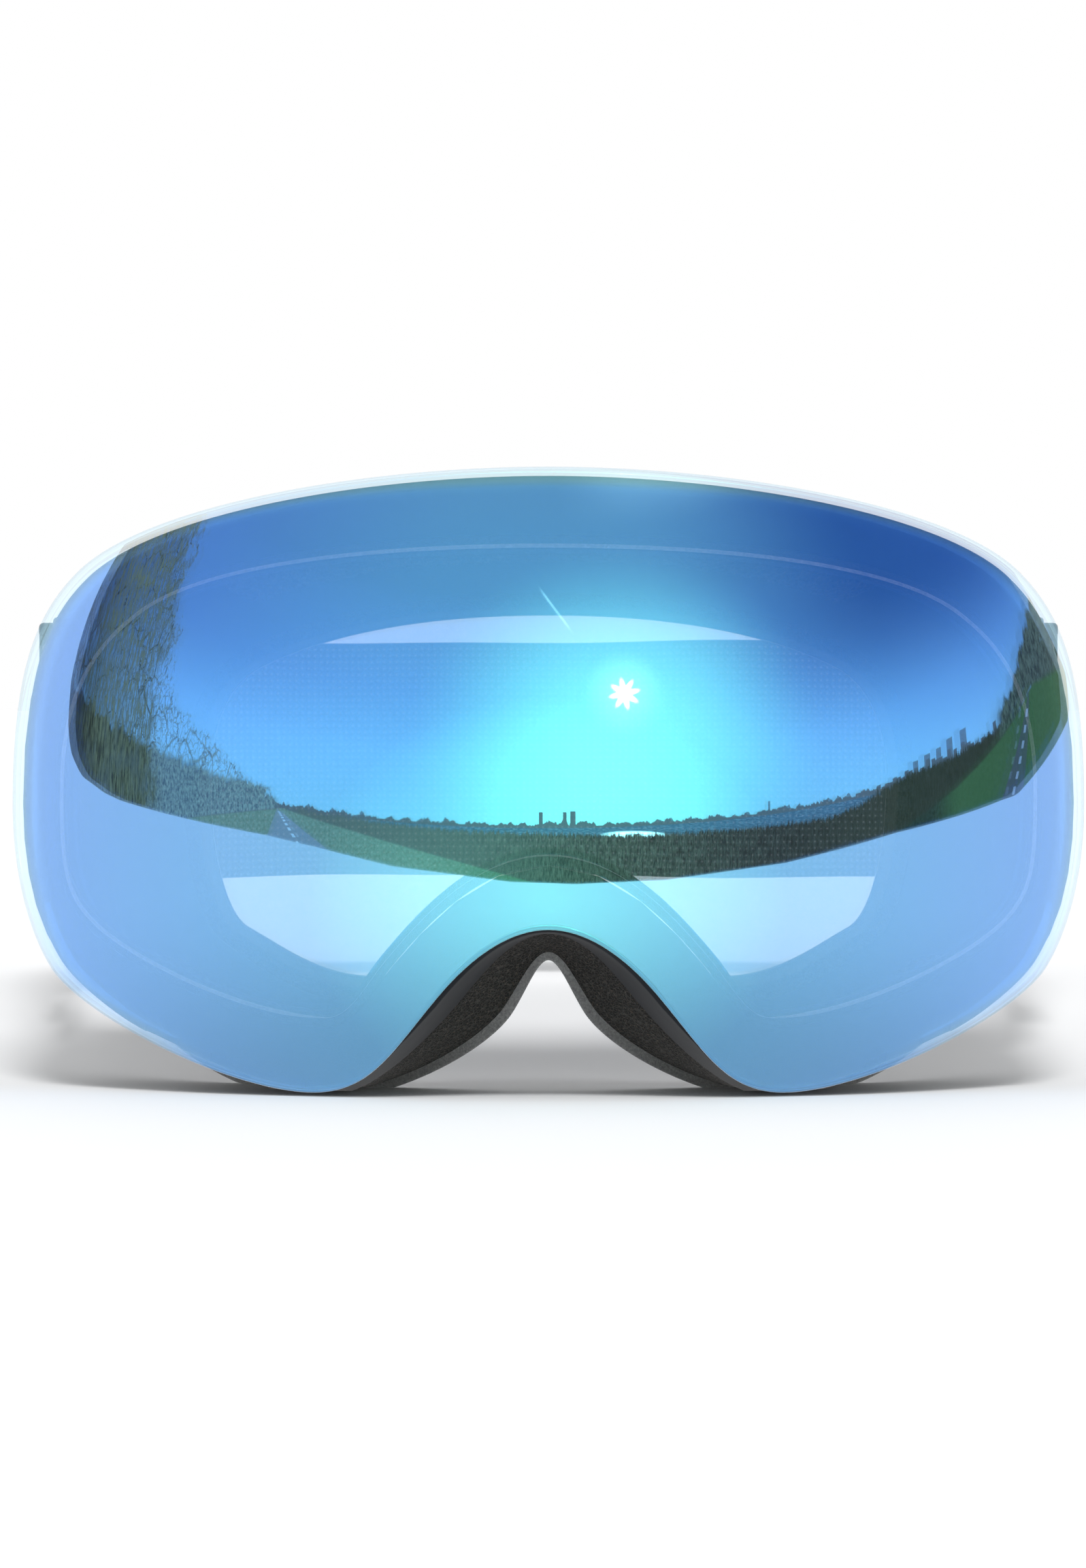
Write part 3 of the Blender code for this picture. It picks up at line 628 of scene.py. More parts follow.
lensBlue = finish("lensBlue", mirrorPaintedLightNodes, Metallic=1.0)
lensBack = finish("lensBack", backWallNodes, Base_Color=(0.72, 0.90, 0.95), IOR=1.45)
lensClear = finish("lensClear", innerLensNodes, Base_Color=(0.92, 0.96, 0.98), IOR=1.45)
paintedHighlightGrey = finish("paintedHighlightGrey", paintedHighlightNodes, Roughness=0.85)
frameBlack = finish("frameBlack", mouldedNodes((0.026, 0.028, 0.032), 0.62), Specular_IOR_Level=0.06)
carrierNodes = mouldedNodes((0.014, 0.015, 0.018), 0.36, 5200, 0.00002)
carrierBlack = finish("carrierBlack", carrierNodes, Specular_IOR_Level=0.3)
clipNodes = mouldedNodes((0.013, 0.014, 0.016), 0.4, 4600, 0.00003)
clipBlack = finish("clipBlack", clipNodes, Specular_IOR_Level=0.25)
foamCharcoal = finish("foamCharcoal", foamNodes((0.010, 0.010, 0.010), (0.070, 0.067, 0.062), 1350, 0.0005))
ventFoam = finish("ventFoam", foamNodes((0.015, 0.015, 0.017), (0.10, 0.10, 0.105), 900, 0.0006))
gasket = finish("gasket", foamNodes((0.020, 0.020, 0.022), (0.075, 0.075, 0.08), 2600, 0.0002))
fleeceGrey = finish("fleeceGrey", fleeceNodes, Roughness=0.95, Sheen_Weight=0.35, Sheen_Roughness=0.5)
strapWeb = finish("strapWeb", webbingNodes, Sheen_Weight=0.2, Sheen_Roughness=0.4)
thread = finish("thread", threadNodes, Roughness=0.8)
nickel = finish("nickel", metalNodes((0.50, 0.49, 0.46), (0.72, 0.70, 0.67), 0.2), Metallic=1.0)
steel = finish("steel", metalNodes((0.30, 0.31, 0.33), (0.46, 0.47, 0.49), 0.24), Metallic=1.0)
print("materials ready")


# lens assembly


# rings from the edge to the hub on the curved front, the same rings behind, and a half-round rim between
def lensPiece(name, line, under, thick, rings=52, rimSteps=7):
    hub = np.array([[0, lensShape["hub"]]])
    tangent = np.roll(line, -1, axis=0) - np.roll(line, 1, axis=0)
    outwards = np.column_stack([-tangent[:, 1], tangent[:, 0]])
    outwards = outwards / np.linalg.norm(outwards, axis=1)[:, None]
    outwards = outwards * np.sign(np.einsum("ij,ij->i", outwards, line - hub))[:, None]
    lean = np.einsum("ij,ij->i", lensNormals(onLens(line, under))[:, ::2], outwards)
    inset = line - outwards * (thick / 2 * (1 - lean))[:, None]
    shares = 1 - np.linspace(0, 1, rings + 1)[:-1] ** 1.25
    front = np.stack([onLens(hub + (inset - hub) * share, under) for share in shares])
    normals = np.stack([lensNormals(ring, under) for ring in front])
    behind = front - normals * thick
    rimNormal = normals[0]
    middle = (front[0] + behind[0]) / 2
    sideways = np.column_stack([outwards[:, 0], np.zeros(len(line)), outwards[:, 1]])
    sideways = sideways - np.einsum("ij,ij->i", sideways, rimNormal)[:, None] * rimNormal
    sideways = sideways / np.linalg.norm(sideways, axis=1)[:, None]
    turns = np.linspace(math.pi / 2, -math.pi / 2, rimSteps + 2)[1:-1]
    rim = [middle + (sideways * math.cos(t) + rimNormal * math.sin(t)) * thick / 2 for t in turns]
    loops = np.concatenate([front[::-1], np.stack(rim), behind])
    count = len(line)
    hubFront = onLens(hub, under)
    hubBehind = hubFront - lensNormals(hubFront, under) * thick
    points = np.concatenate([loops.reshape(-1, 3), hubFront, hubBehind])
    rows = len(loops)
    piece = meshPiece(name, points, gridQuads(rows, count), endFans(rows, count), smoothAngle=60)
    inside = np.concatenate([1 - shares[::-1], np.zeros(rimSteps), 1 - shares])
    # 0 on the rim, 1 where the frame stands behind the lens
    depth = np.linalg.norm(line - hub, axis=1)[None, :] * inside[:, None] / (3.0 * mm)
    attribute = piece.data.attributes.new("rim", "FLOAT", "POINT")
    # the rim counts only up the sides and over the top, where the backdrop stands behind; there its pale
    # colour is painted light coming through, and lower down it is left out
    outer = np.clip((line[:, 1] + 0.9 * np.abs(line[:, 0])) / (15 * mm) - 3.5, 0, 1)
    outer = outer * (0.4 + 0.6 * np.clip(line[:, 1] / (25 * mm) - 0.8, 0, 1))
    depth = 1 - (1 - np.clip(depth, 0, 1)) * outer[None, :]
    values = np.concatenate([depth.ravel(), [1, 1]]).astype(np.float32)
    attribute.data.foreach_set("value", values)
    # the second material is on the back wall and on the back's fan
    isBack = np.concatenate([np.arange(rows - 1) >= rings + rimSteps, [False, True]])
    piece.data.polygons.foreach_set("material_index", np.repeat(isBack, count).astype(np.int32))
    return piece


outerLens = dress(lensPiece("outerLens", edge, 0.0, lensShape["thick"]), lensBlue, lensBack)
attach(outerLens, "lens_body")
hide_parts("outer_lens")

innerEdge = between(edge, sealLine, 0.90)
innerLens = lensPiece("innerLens", innerEdge, layers["innerAt"], layers["innerThick"], 24, 5)
dress(innerLens, lensClear, lensClear)
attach(innerLens, "lens_body")
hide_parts("inner_lens")


def lensHoop(name, outer, inner, front, back, radius):
    loops = [onLens(outer, front), onLens(outer, back), onLens(inner, back), onLens(inner, front)]
    return hoopPiece(name, loops, [radius] * 4)


def sealBand(inner, outer):
    return between(edge, sealLine, inner), between(edge, sealLine, outer)


sealDepths = layers["sealAt"] + 0.1 * mm, layers["sealEnd"]
lensSeal = dress(lensHoop("lensSeal", *sealBand(0.865, 1.10), *sealDepths, 0.5 * mm), gasket)
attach(lensSeal, "lens_body")
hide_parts("lens_seal")


# a pale grey bead along the seal's inner edge, a painted highlight line for the bright edge behind the lens;
# thinner towards the low corners beside the nose
def paintedHighlightBeadPiece():
    width = np.clip((np.abs(edge[:, 0]) - 36 * mm) / (10 * mm), 0.12, 1)
    width = np.maximum(width, np.clip((edge[:, 1] - 24 * mm) / (8 * mm), 0.12, 1))[:, None] * 0.34 * mm
    away = sealLine - edge
    away = away / np.linalg.norm(away, axis=1)[:, None]
    outer, inner = sealLine - away * width, sealLine + away * width
    front, back = layers["sealAt"] - 0.15 * mm, layers["sealAt"] + 0.4 * mm
    return lensHoop("paintedHighlightBead", outer, inner, front, back, 0.1 * mm)


paintedHighlightBead = dress(paintedHighlightBeadPiece(), paintedHighlightGrey)
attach(paintedHighlightBead, "lens_body")

for side in ("lens", "frame"):
    for i in range(1, 7):
        dress(frame["nodes"][f"{side}_magnet_{i}"], nickel)
dress(frame["nodes"]["lens_carrier"], carrierBlack)
for side in ("top", "left", "right"):
    dress(frame["nodes"][f"vent_foam_{side}"], ventFoam)
print("lens assembly made")


# frame

ventShape = {
    "count": 7,
    "pitch": 15 * mm,
    "size": (10.5 * mm, 7.5 * mm, 24 * mm),
    "z": 97 * mm,
    "low": (52 * mm, 63 * mm),
    "lowSize": (6.5 * mm, 8 * mm, 22 * mm),
    "lowY": 30.5 * mm,  # behind the lens's apex
    "lowZ": 8 * mm,
}
clipShape = {
    "x": 82.9 * mm,
    "thick": 2.4 * mm,
    "disc": 7.6 * mm,
    "half": 25 * mm,
    "slot": (10.2 * mm, 13.8 * mm),
    "end": 16.8 * mm,
    "stud": 2.4 * mm,
}
earShape = {"thick": 3.0 * mm, "half": 9.5 * mm, "corner": 4 * mm}
earX = clipShape["x"] - clipShape["thick"] / 2 - gap - earShape["thick"] / 2


# share of the way back along the wall, and how deep in mm
grooves = ((0.30, 0), (0.34, 0.5), (0.40, 0.5), (0.44, 0), (0.72, 0), (0.76, 0.4), (0.80, 0))


# seat for the lens, wall with shallow grooves, and flange for the face foam
def frameHoop():
    seatIn = between(edge, sealLine, 0.83)
    wallFront = between(frameEdge, sealLine, 0.17)
    wallBack = between(backLine, aperture, 0.12)
    flangeIn = between(backLine, aperture, 0.80)
    rimFront, rimBack = onLens(frameEdge, layers["flangeAt"]), onLens(frameEdge, layers["flangeEnd"])
    heel, toe = onFace(backLine, wallEnd), onFace(backLine, facePad["frameEnd"])
    inwards = onFace(wallBack, wallEnd) - heel
    inwards = inwards / np.linalg.norm(inwards, axis=1)[:, None]
    loops = [rimFront, rimBack]
    clear = np.clip((frameEdge[:, 1] + 0.9 * np.abs(frameEdge[:, 0])) / (15 * mm) - 5, 0, 1)[:, None]
    for share, sink in grooves:
        loops.append(rimBack + (heel - rimBack) * share + inwards * clear * sink * mm)
    loops += [
        heel,
        toe,
        onFace(flangeIn, facePad["frameEnd"]),
        onFace(flangeIn, wallEnd),
        onFace(wallBack, wallEnd),
        onLens(wallFront, layers["flangeEnd"]),
        onLens(seatIn, layers["flangeEnd"]),
        onLens(seatIn, layers["flangeAt"]),
    ]
    radii = [0.7, 0.6, 0.3, 0.25, 0.25, 0.3, 0.25, 0.2, 0.25, 0.7, 0.5, 0.5, 0.5, 0.8, 0.8, 0.5, 0.5]
    return hoopPiece("frameShell", loops, [r * mm for r in radii], steps=3)


def earPiece(way):
    front, back = -13.5 * mm, 8.5 * mm
    corner = earShape["half"] - earShape["corner"]
    loop = [(front, -earShape["half"])]
    loop += arc((back - earShape["corner"], -corner), earShape["corner"], -90, 0, 10)
    loop += arc((back - earShape["corner"], corner), earShape["corner"], 0, 90, 10)
    loop += [(front, earShape["half"])]
    return platePiece("ear", [loop], earShape["thick"], (way * earX, studAt[1], studAt[2]), 0.5 * mm)


def ventLine(x):
    z = ventShape["z"]
    return float(lensY(x, z, layers["flangeEnd"]) + faceY(x, z, wallEnd)) / 2


frameShell = frameHoop()
for way in (-1, 1):
    applyBoolean(frameShell, earPiece(way), "UNION")
cuts = []
for i in range(ventShape["count"]):
    x = (i - (ventShape["count"] - 1) / 2) * ventShape["pitch"]
    cuts.append(boxPiece("vent", ventShape["size"], (x, ventLine(x), ventShape["z"]), 1.6 * mm))
for way in (-1, 1):
    for x in ventShape["low"]:
        y = lensFront + ventShape["lowY"] + (x - ventShape["low"][0]) * 0.5
        cuts.append(boxPiece("lowVent", ventShape["lowSize"], (way * x, y, ventShape["lowZ"]), 1.2 * mm))
    profile = [(-10 * mm, clipShape["stud"] + gap), (10 * mm, clipShape["stud"] + gap)]
    cuts.append(turnedPiece("studHole", profile, (way * earX, studAt[1], studAt[2]), 1, 40))
pocketShape = {"radius": 3.1 * mm, "deep": 2.8 * mm, "forward": 0.45 * mm}
for i in range(1, 7):
    low, high = (np.array(corner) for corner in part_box(f"frame_magnet_{i}"))
    middle = (low + high) / 2
    normal = Vector(lensNormals(np.array([middle]), layers["sealEnd"])[0])
    bm = bmesh.new()
    wide, deep = pocketShape["radius"], pocketShape["deep"]
    bmesh.ops.create_cone(bm, cap_ends=True, segments=40, radius1=wide, radius2=wide, depth=deep)
    bmesh.ops.transform(bm, matrix=normal.to_track_quat("Z", "Y").to_matrix().to_4x4(), verts=bm.verts)
    bmesh.ops.translate(bm, vec=Vector(middle) + normal * pocketShape["forward"], verts=bm.verts)
    cuts.append(addPiece("pocket", meshFrom(bm, "pocket")))
applyBoolean(frameShell, joined("cuts", cuts), "DIFFERENCE", 35)
dress(frameShell, frameBlack)
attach(frameShell, "frame_body")
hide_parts("frame")
print("frame made")


# face foam and fleece


def smoothNoise(points, scale, seed):
    # the mean of five sines, each along its own direction
    rng = np.random.default_rng(seed)
    total = np.zeros(len(points))
    for _ in range(5):
        way = rng.normal(size=3)
        pace = scale * rng.uniform(0.7, 1.6)
        total += np.sin(points @ (way / np.linalg.norm(way)) * pace + rng.uniform(0, 6))
    return total / 5


def foamRelief(points):
    # pushed along y by slow waves, so that the pad isn't ruled
    moved = points.copy()
    moved[:, 1] += 0.12 * mm * smoothNoise(points, 260, 3)
    return moved


foamEnd = facePad["fleece"] + gap
foamFront = between(backLine, aperture, 0.03)
foamIn = between(backLine, aperture, 0.93)
outerSide = [(0.2, 0.5), (0.5, 0.9), (0.8, 0.5)]  # share of the way back, bulge in mm


def foamHoop():
    a, b = onFace(foamFront, foamEnd + facePad["foam"]), onFace(foamLine, foamEnd)
    c, d = onFace(aperture, foamEnd), onFace(foamIn, foamEnd + facePad["foam"])
    across = (b - c) / np.linalg.norm(b - c, axis=1)[:, None]
    loops = [a]
    loops += [a + (b - a) * share - across * 0.35 * bulge * mm for share, bulge in outerSide]
    loops += [b, b + (c - b) * 0.5, c]
    loops += [c + (d - c) * share + across * 0.35 * bulge * mm for share, bulge in outerSide]
    loops += [d, d + (a - d) * 0.5]
    radii = [1.2, 2, 2, 2, 0.8, 3, 1.2, 2, 2, 2, 1.2, 3]
    return hoopPiece("faceFoam", loops, [r * mm for r in radii], steps=3, relief=foamRelief)


faceFoam = dress(foamHoop(), foamCharcoal)
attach(faceFoam, "frame_body")
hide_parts("face_foam")


def fleeceHoop():
    lip = between(aperture, foamLine, 1.07)
    rounded = between(aperture, foamLine, 0.97)
    crown = between(aperture, foamLine, 0.5)
    thick = facePad["fleece"]
    loops = [
        onFace(lip, thick + 1.6 * mm),
        onFace(lip, thick * 0.35),
        onFace(rounded, 0),
        onFace(crown, -0.3 * mm),
        onFace(aperture, 0),
        onFace(aperture, thick),
    ]
    radii = [0.5, 0.6, 1.5, 3, 0.7, 0.5]
    return hoopPiece("faceFleece", loops, [r * mm for r in radii], steps=4, relief=foamRelief)


faceFleece = dress(fleeceHoop(), fleeceGrey)
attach(faceFleece, "frame_body")
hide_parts("face_fleece")
print("face foam made")


# strap

strapShape = {
    "thick": 1.8 * mm,
    "x": 85.3 * mm,
    "fold": 2.4 * mm,
    "bendAt": lensFront + 127 * mm,
    "back": 43 * mm,
    "square": 0.9,  # 1 for an ellipse, less for a squarer back
    "end": lensFront + 117.5 * mm,
}


# plan of the strap: tail, fold round the clip's bar, straight side, superellipse at the back, and so on
def strapPath():
    innerX, foldY = strapShape["x"] - 2 * strapShape["fold"], studAt[1] + clipShape["slot"][1] + 0.5 * mm
    tail = np.linspace(strapShape["end"], foldY, 60, endpoint=False)
    tail = np.column_stack([np.full(60, innerX), tail])
    t = np.linspace(0, math.pi, 25, endpoint=False)
    fold = (clipShape["x"], foldY) - strapShape["fold"] * np.column_stack([np.cos(t), np.sin(t)])
    straight = np.linspace(foldY, strapShape["bendAt"], 70, endpoint=False)
    straight = np.column_stack([np.full(70, strapShape["x"]), straight])
    t = np.linspace(0, math.pi / 2, 120)
    corner = np.column_stack([np.cos(t).clip(0, 1), np.sin(t)]) ** strapShape["square"]
    bend = (0, strapShape["bendAt"]) + corner * (strapShape["x"], strapShape["back"])
    half = np.concatenate([tail, fold, straight, bend])
    return np.concatenate([half, half[-2::-1] * (-1, 1)])


# a flat rounded section carried along the plan: half-width, and half-thickness with round edges
def strapPiece():
    path = strapPath()
    way = np.gradient(path, axis=0)
    way = way / np.linalg.norm(way, axis=1)[:, None]
    side = np.column_stack([way[:, 1], -way[:, 0]])
    along = np.concatenate([[0], np.cumsum(np.linalg.norm(np.diff(path, axis=0), axis=1))])
    half, thin = strapWide / 2, strapShape["thick"] / 2
    turns = np.linspace(-math.pi / 2, math.pi / 2, 7)
    outerEdge = np.column_stack([np.sin(turns) * thin, half - thin + np.cos(turns) * thin])
    across = np.linspace(half - thin, -half + thin, 23)[1:-1]
    front = np.column_stack([np.full(21, thin), across])
    lowerEdge = outerEdge[::-1] * (1, -1)
    behind = np.column_stack([np.full(21, -thin), across[::-1]])
    section = np.concatenate([outerEdge, front, lowerEdge, behind])
    level = (strapHigh[2] + strapLow[2]) / 2
    wave = 0.25 * mm * np.sin(along * 55) + 0.15 * mm * np.sin(along * 131 + 1)
    points = np.empty((len(path), len(section), 3))
    points[:, :, :2] = path[:, None, :] + side[:, None, :] * section[None, :, 0, None]
    points[:, :, 2] = level + section[None, :, 1] + wave[:, None] * (section[None, :, 1] / half)
    uv = np.empty((len(path), len(section), 2))
    uv[:, :, 0] = along[:, None]
    uv[:, :, 1] = section[None, :, 1] + (section[None, :, 0] < 0)
    rows, count = len(path), len(section)
    ends = np.array([points[0].mean(0), points[-1].mean(0)])
    points = np.concatenate([points.reshape(-1, 3), ends])
    uv = np.concatenate([uv.reshape(-1, 2), [[0, 0], [along[-1], 0]]])
    return meshPiece("strapWebbing", points, gridQuads(rows, count), endFans(rows, count), uv=uv)


strap = dress(strapPiece(), strapWeb)
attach(strap, "strap_body")
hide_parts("strap")


def clipLoops():
    corner, shoulder = 3 * mm, 6.4 * mm
    back, top = clipShape["end"] - corner, clipShape["half"] - corner
    border = arc((0, 0), clipShape["disc"], 65, 295, 40)
    lower = [(shoulder, -top + 2 * mm)] + arc((shoulder + corner, -top), corner, 180, 270, 10)
    lower += arc((back, -top), corner, -90, 0, 10)
    upper = [(y, -z) for y, z in reversed(lower)]
    hole = arc((0, 0), clipShape["stud"] + gap, 0, 360, 40)[:-1]
    half = strapWide / 2 + 0.8 * mm
    slotFront, slotBack = clipShape["slot"]
    slot = [(slotFront, -half), (slotBack, -half), (slotBack, half), (slotFront, half)]
    return [border + lower + upper, hole, slot]


adjusterShape = {
    "at": lensFront + 110 * mm,
    "long": 15 * mm,
    "rail": 2.6 * mm,
    "bar": 3.2 * mm,
    "skin": 1.6 * mm,
}


def adjusterPiece(name, way):
    outer = strapShape["x"] + strapShape["thick"] / 2 + gap
    inner = clipShape["x"] - adjusterShape["skin"] / 2
    middle, wide = (outer + adjusterShape["skin"] + inner) / 2, outer + adjusterShape["skin"] - inner
    y, z = adjusterShape["at"] + adjusterShape["long"] / 2, studAt[2]
    railZ = strapWide / 2 + 2 * gap + adjusterShape["rail"] / 2
    parts = []
    for up in (-1, 1):
        size = (wide, adjusterShape["long"], adjusterShape["rail"])
        parts.append(boxPiece("rail", size, (way * middle, y, z + up * railZ), 0.8 * mm))
    reach = 2 * railZ + 0.6 * mm
    reaches = (adjusterShape["long"] - adjusterShape["bar"]) / 2 - 0.4 * mm
    outerBar = outer + adjusterShape["skin"] / 2
    for x, dy in ((outerBar, -reaches), (outerBar, reaches), (clipShape["x"], 0)):
        size = (adjusterShape["skin"] - 0.1 * mm, adjusterShape["bar"], reach)
        parts.append(boxPiece("bar", size, (way * x, y + dy, z), 0.5 * mm))
    whole = parts[0]
    whole.name = name
    for part in parts[1:]:
        applyBoolean(whole, part, "UNION")
    return dress(whole, clipBlack)


# a stitch is a short thread that dips into the cloth at both ends; rows of them as one mesh
def stitches(name, starts, ends, out, radius=0.12 * mm, lift=0.05 * mm):
    starts, ends, out = np.asarray(starts), np.asarray(ends), np.asarray(out, float)
    t = np.linspace(0, 1, 7)
    height = np.sin(t * math.pi) * (lift + radius) - radius * 0.6
    centre = starts[:, None] + (ends - starts)[:, None] * t[None, :, None] + out * height[None, :, None]
    way = (ends - starts) / np.linalg.norm(ends - starts, axis=1)[:, None]
    side = np.cross(way, out)
    turns = np.linspace(0, 2 * math.pi, 6, endpoint=False)
    ring = side[:, None, :] * np.cos(turns)[None, :, None] + out * np.sin(turns)[None, :, None]
    points = centre[:, :, None, :] + ring[:, None] * radius
    quads = gridQuads(7, 6)
    each = 7 * 6
    allQuads = (quads[None] + np.arange(len(starts))[:, None, None] * each).reshape(-1, 4)
    fan = np.array([[0, 2, 1], [0, 3, 2], [0, 4, 3], [0, 5, 4]])
    caps = np.concatenate([fan, fan[:, ::-1] + 36])
    allCaps = (caps[None] + np.arange(len(starts))[:, None, None] * each).reshape(-1, 3)
    return meshPiece(name, points.reshape(-1, 3), allQuads, allCaps, smoothAngle=80)


def dashedLine(a, b, pitch=2.2 * mm, fill=0.72):
    a, b = np.array(a, float), np.array(b, float)
    count = int(np.linalg.norm(b - a) / pitch)
    at = (np.arange(count) + (1 - fill) / 2) / count
    return a + (b - a) * at[:, None], a + (b - a) * (at + fill / count)[:, None]


# the stud's domed head with a dimple, in mm: how far out, and the radius there
studHead = (
    (0, 4.5), (0.25, 4.8), (0.7, 4.75), (1.1, 4.2), (1.35, 3.2), (1.4, 2.5), (1.35, 2.3), (0.7, 2.1),
    (0.65, 0.4),
)

for side, way in (("left", -1), ("right", 1)):
    place = (way * clipShape["x"], studAt[1], studAt[2])
    clip = dress(platePiece(f"clip_{side}", clipLoops(), clipShape["thick"], place, 0.5 * mm), clipBlack)
    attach(clip, "strap_body")
    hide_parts(f"strap_clip_{side}")

    low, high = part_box(f"swivel_stud_{side}")
    start = min(abs(low[0]), abs(high[0]))
    headAt = clipShape["x"] + clipShape["thick"] / 2 + gap - start
    radius = clipShape["stud"]
    profile = [(0, radius - 0.3 * mm), (0.3 * mm, radius), (headAt, radius)]
    profile += [(headAt + out * mm, wide * mm) for out, wide in studHead]
    stud = dress(turnedPiece(f"stud_{side}", profile, (way * start, studAt[1], studAt[2]), way), steel)
    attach(stud, "frame_body")
    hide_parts(f"swivel_stud_{side}")

    adjuster = adjusterPiece(f"adjuster_{side}_made", way)
    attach(adjuster, f"adjuster_body_{side}")
    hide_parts(f"adjuster_{side}")

    # box of stitches that holds the fold, on the outer layer
    face = way * (strapShape["x"] + strapShape["thick"] / 2)
    near, far = studAt[1] + clipShape["end"] + 2.2 * mm, studAt[1] + clipShape["end"] + 9.5 * mm
    bottom, top = strapLow[2] + 3 * mm, strapHigh[2] - 3 * mm
    starts, ends = [], []
    corners = [(near, bottom), (near, top), (far, top), (far, bottom), (near, bottom)]
    corners = [(face, y, z) for y, z in corners]
    for a, b in zip(corners, corners[1:]):
        found = dashedLine(a, b)
        starts.append(found[0])
        ends.append(found[1])
    seam = stitches(f"foldStitches_{side}", np.concatenate(starts), np.concatenate(ends), (way, 0, 0))
    dress(seam, thread)
    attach(seam, "strap_body")
print("strap made")


# stage, light and camera


stage = {
    "floor": (0.90, 0.905, 0.915),
    "rise": 15 * mm,
    "riseFrom": -33 * mm,
    "riseOver": 150 * mm,
    "backdrop": 1.0,
    "fill": 0.67,
    "shine": 1.58,
    "sun": (52, 5, 15, 1.85),  # degrees up, degrees to the right, degrees across, strength
}


# flat under the front, and rising by a step with eased ends behind it
def floorPiece():
    share = np.linspace(0, 1, 33)
    rise = stage["rise"] * share * share * (3 - 2 * share)
    y = np.concatenate([[-6], stage["riseFrom"] + stage["riseOver"] * share, [8]])
    z = np.concatenate([[0], rise, [stage["rise"]]]) - 0.05 * mm
    rows = [(x, a, b) for a, b in zip(y, z) for x in (-6, 6)]
    faces = [(2 * i, 2 * i + 1, 2 * i + 3, 2 * i + 2) for i in range(len(y) - 1)]
    mesh = bpy.data.meshes.new("floor")
    mesh.from_pydata(rows, [], faces)
    return addPiece("floor", mesh, 180)


floor = floorPiece()


def floorNodes(n):
    grain = n.noise(9, 2, 0.5)
    return {"Base Color": n.mix(grain, stage["floor"], tuple(c * 0.985 for c in stage["floor"]))}


dress(floor, finish("paleFloor", floorNodes, Roughness=0.75, Specular_IOR_Level=0.2))
floor.visible_glossy = False


def sunLight():
    up, right, across, strength = stage["sun"]
    data = bpy.data.lights.new("key", "SUN")
    data.angle, data.energy = math.radians(across), strength
    light = bpy.data.objects.new("key", data)
    light.rotation_euler = Euler((math.radians(90 - up), 0, math.radians(right)))
    light.visible_glossy = False
    bpy.context.scene.collection.objects.link(light)


sunLight()

# what the lens mirrors: a lake shore under a blue sky, in degrees round from the viewer's side and up
lake = {
    "low": (
        (-104, 9.0), (-103.4, 6.0), (-101.7, 3.4), (-98, 1.5), (-88, -0.4), (-71, -2.3), (-54, -4.2),
        (-44, -5.7), (-29, -8.3), (-7, -10.5), (5, -10.8), (22, -10.1), (45, -7.6), (68, -3.8), (99, 0.1),
        (117, 5.1), (118, 8.0),
    ),
    "sky": (
        (0.0, (1.1, 1.7, 1.8)), (0.18, (1.05, 1.65, 2.0)), (0.36, (0.78, 1.25, 1.65)),
        (0.65, (0.60, 1.0, 1.1)), (1.0, (0.62, 0.98, 0.96)),
    ),
    "skyRight": (0.11, 0.28, 0.58),
    "skyLeft": (0.36, 0.56, 0.90),
    "glow": (1.9, 3.8, 2.5),
    "towers": (  # where, how tall, half as wide as
        (-1.4, 1.9, 0.35), (3.0, 1.9, 0.33), (4.5, 2.0, 0.5), (41.4, 1.5, 0.2), (72.6, 1.9, 0.6),
        (75.4, 2.1, 0.7), (78.2, 2.2, 0.6), (81.0, 2.6, 0.75), (84.6, 2.7, 0.8),
    ),
}


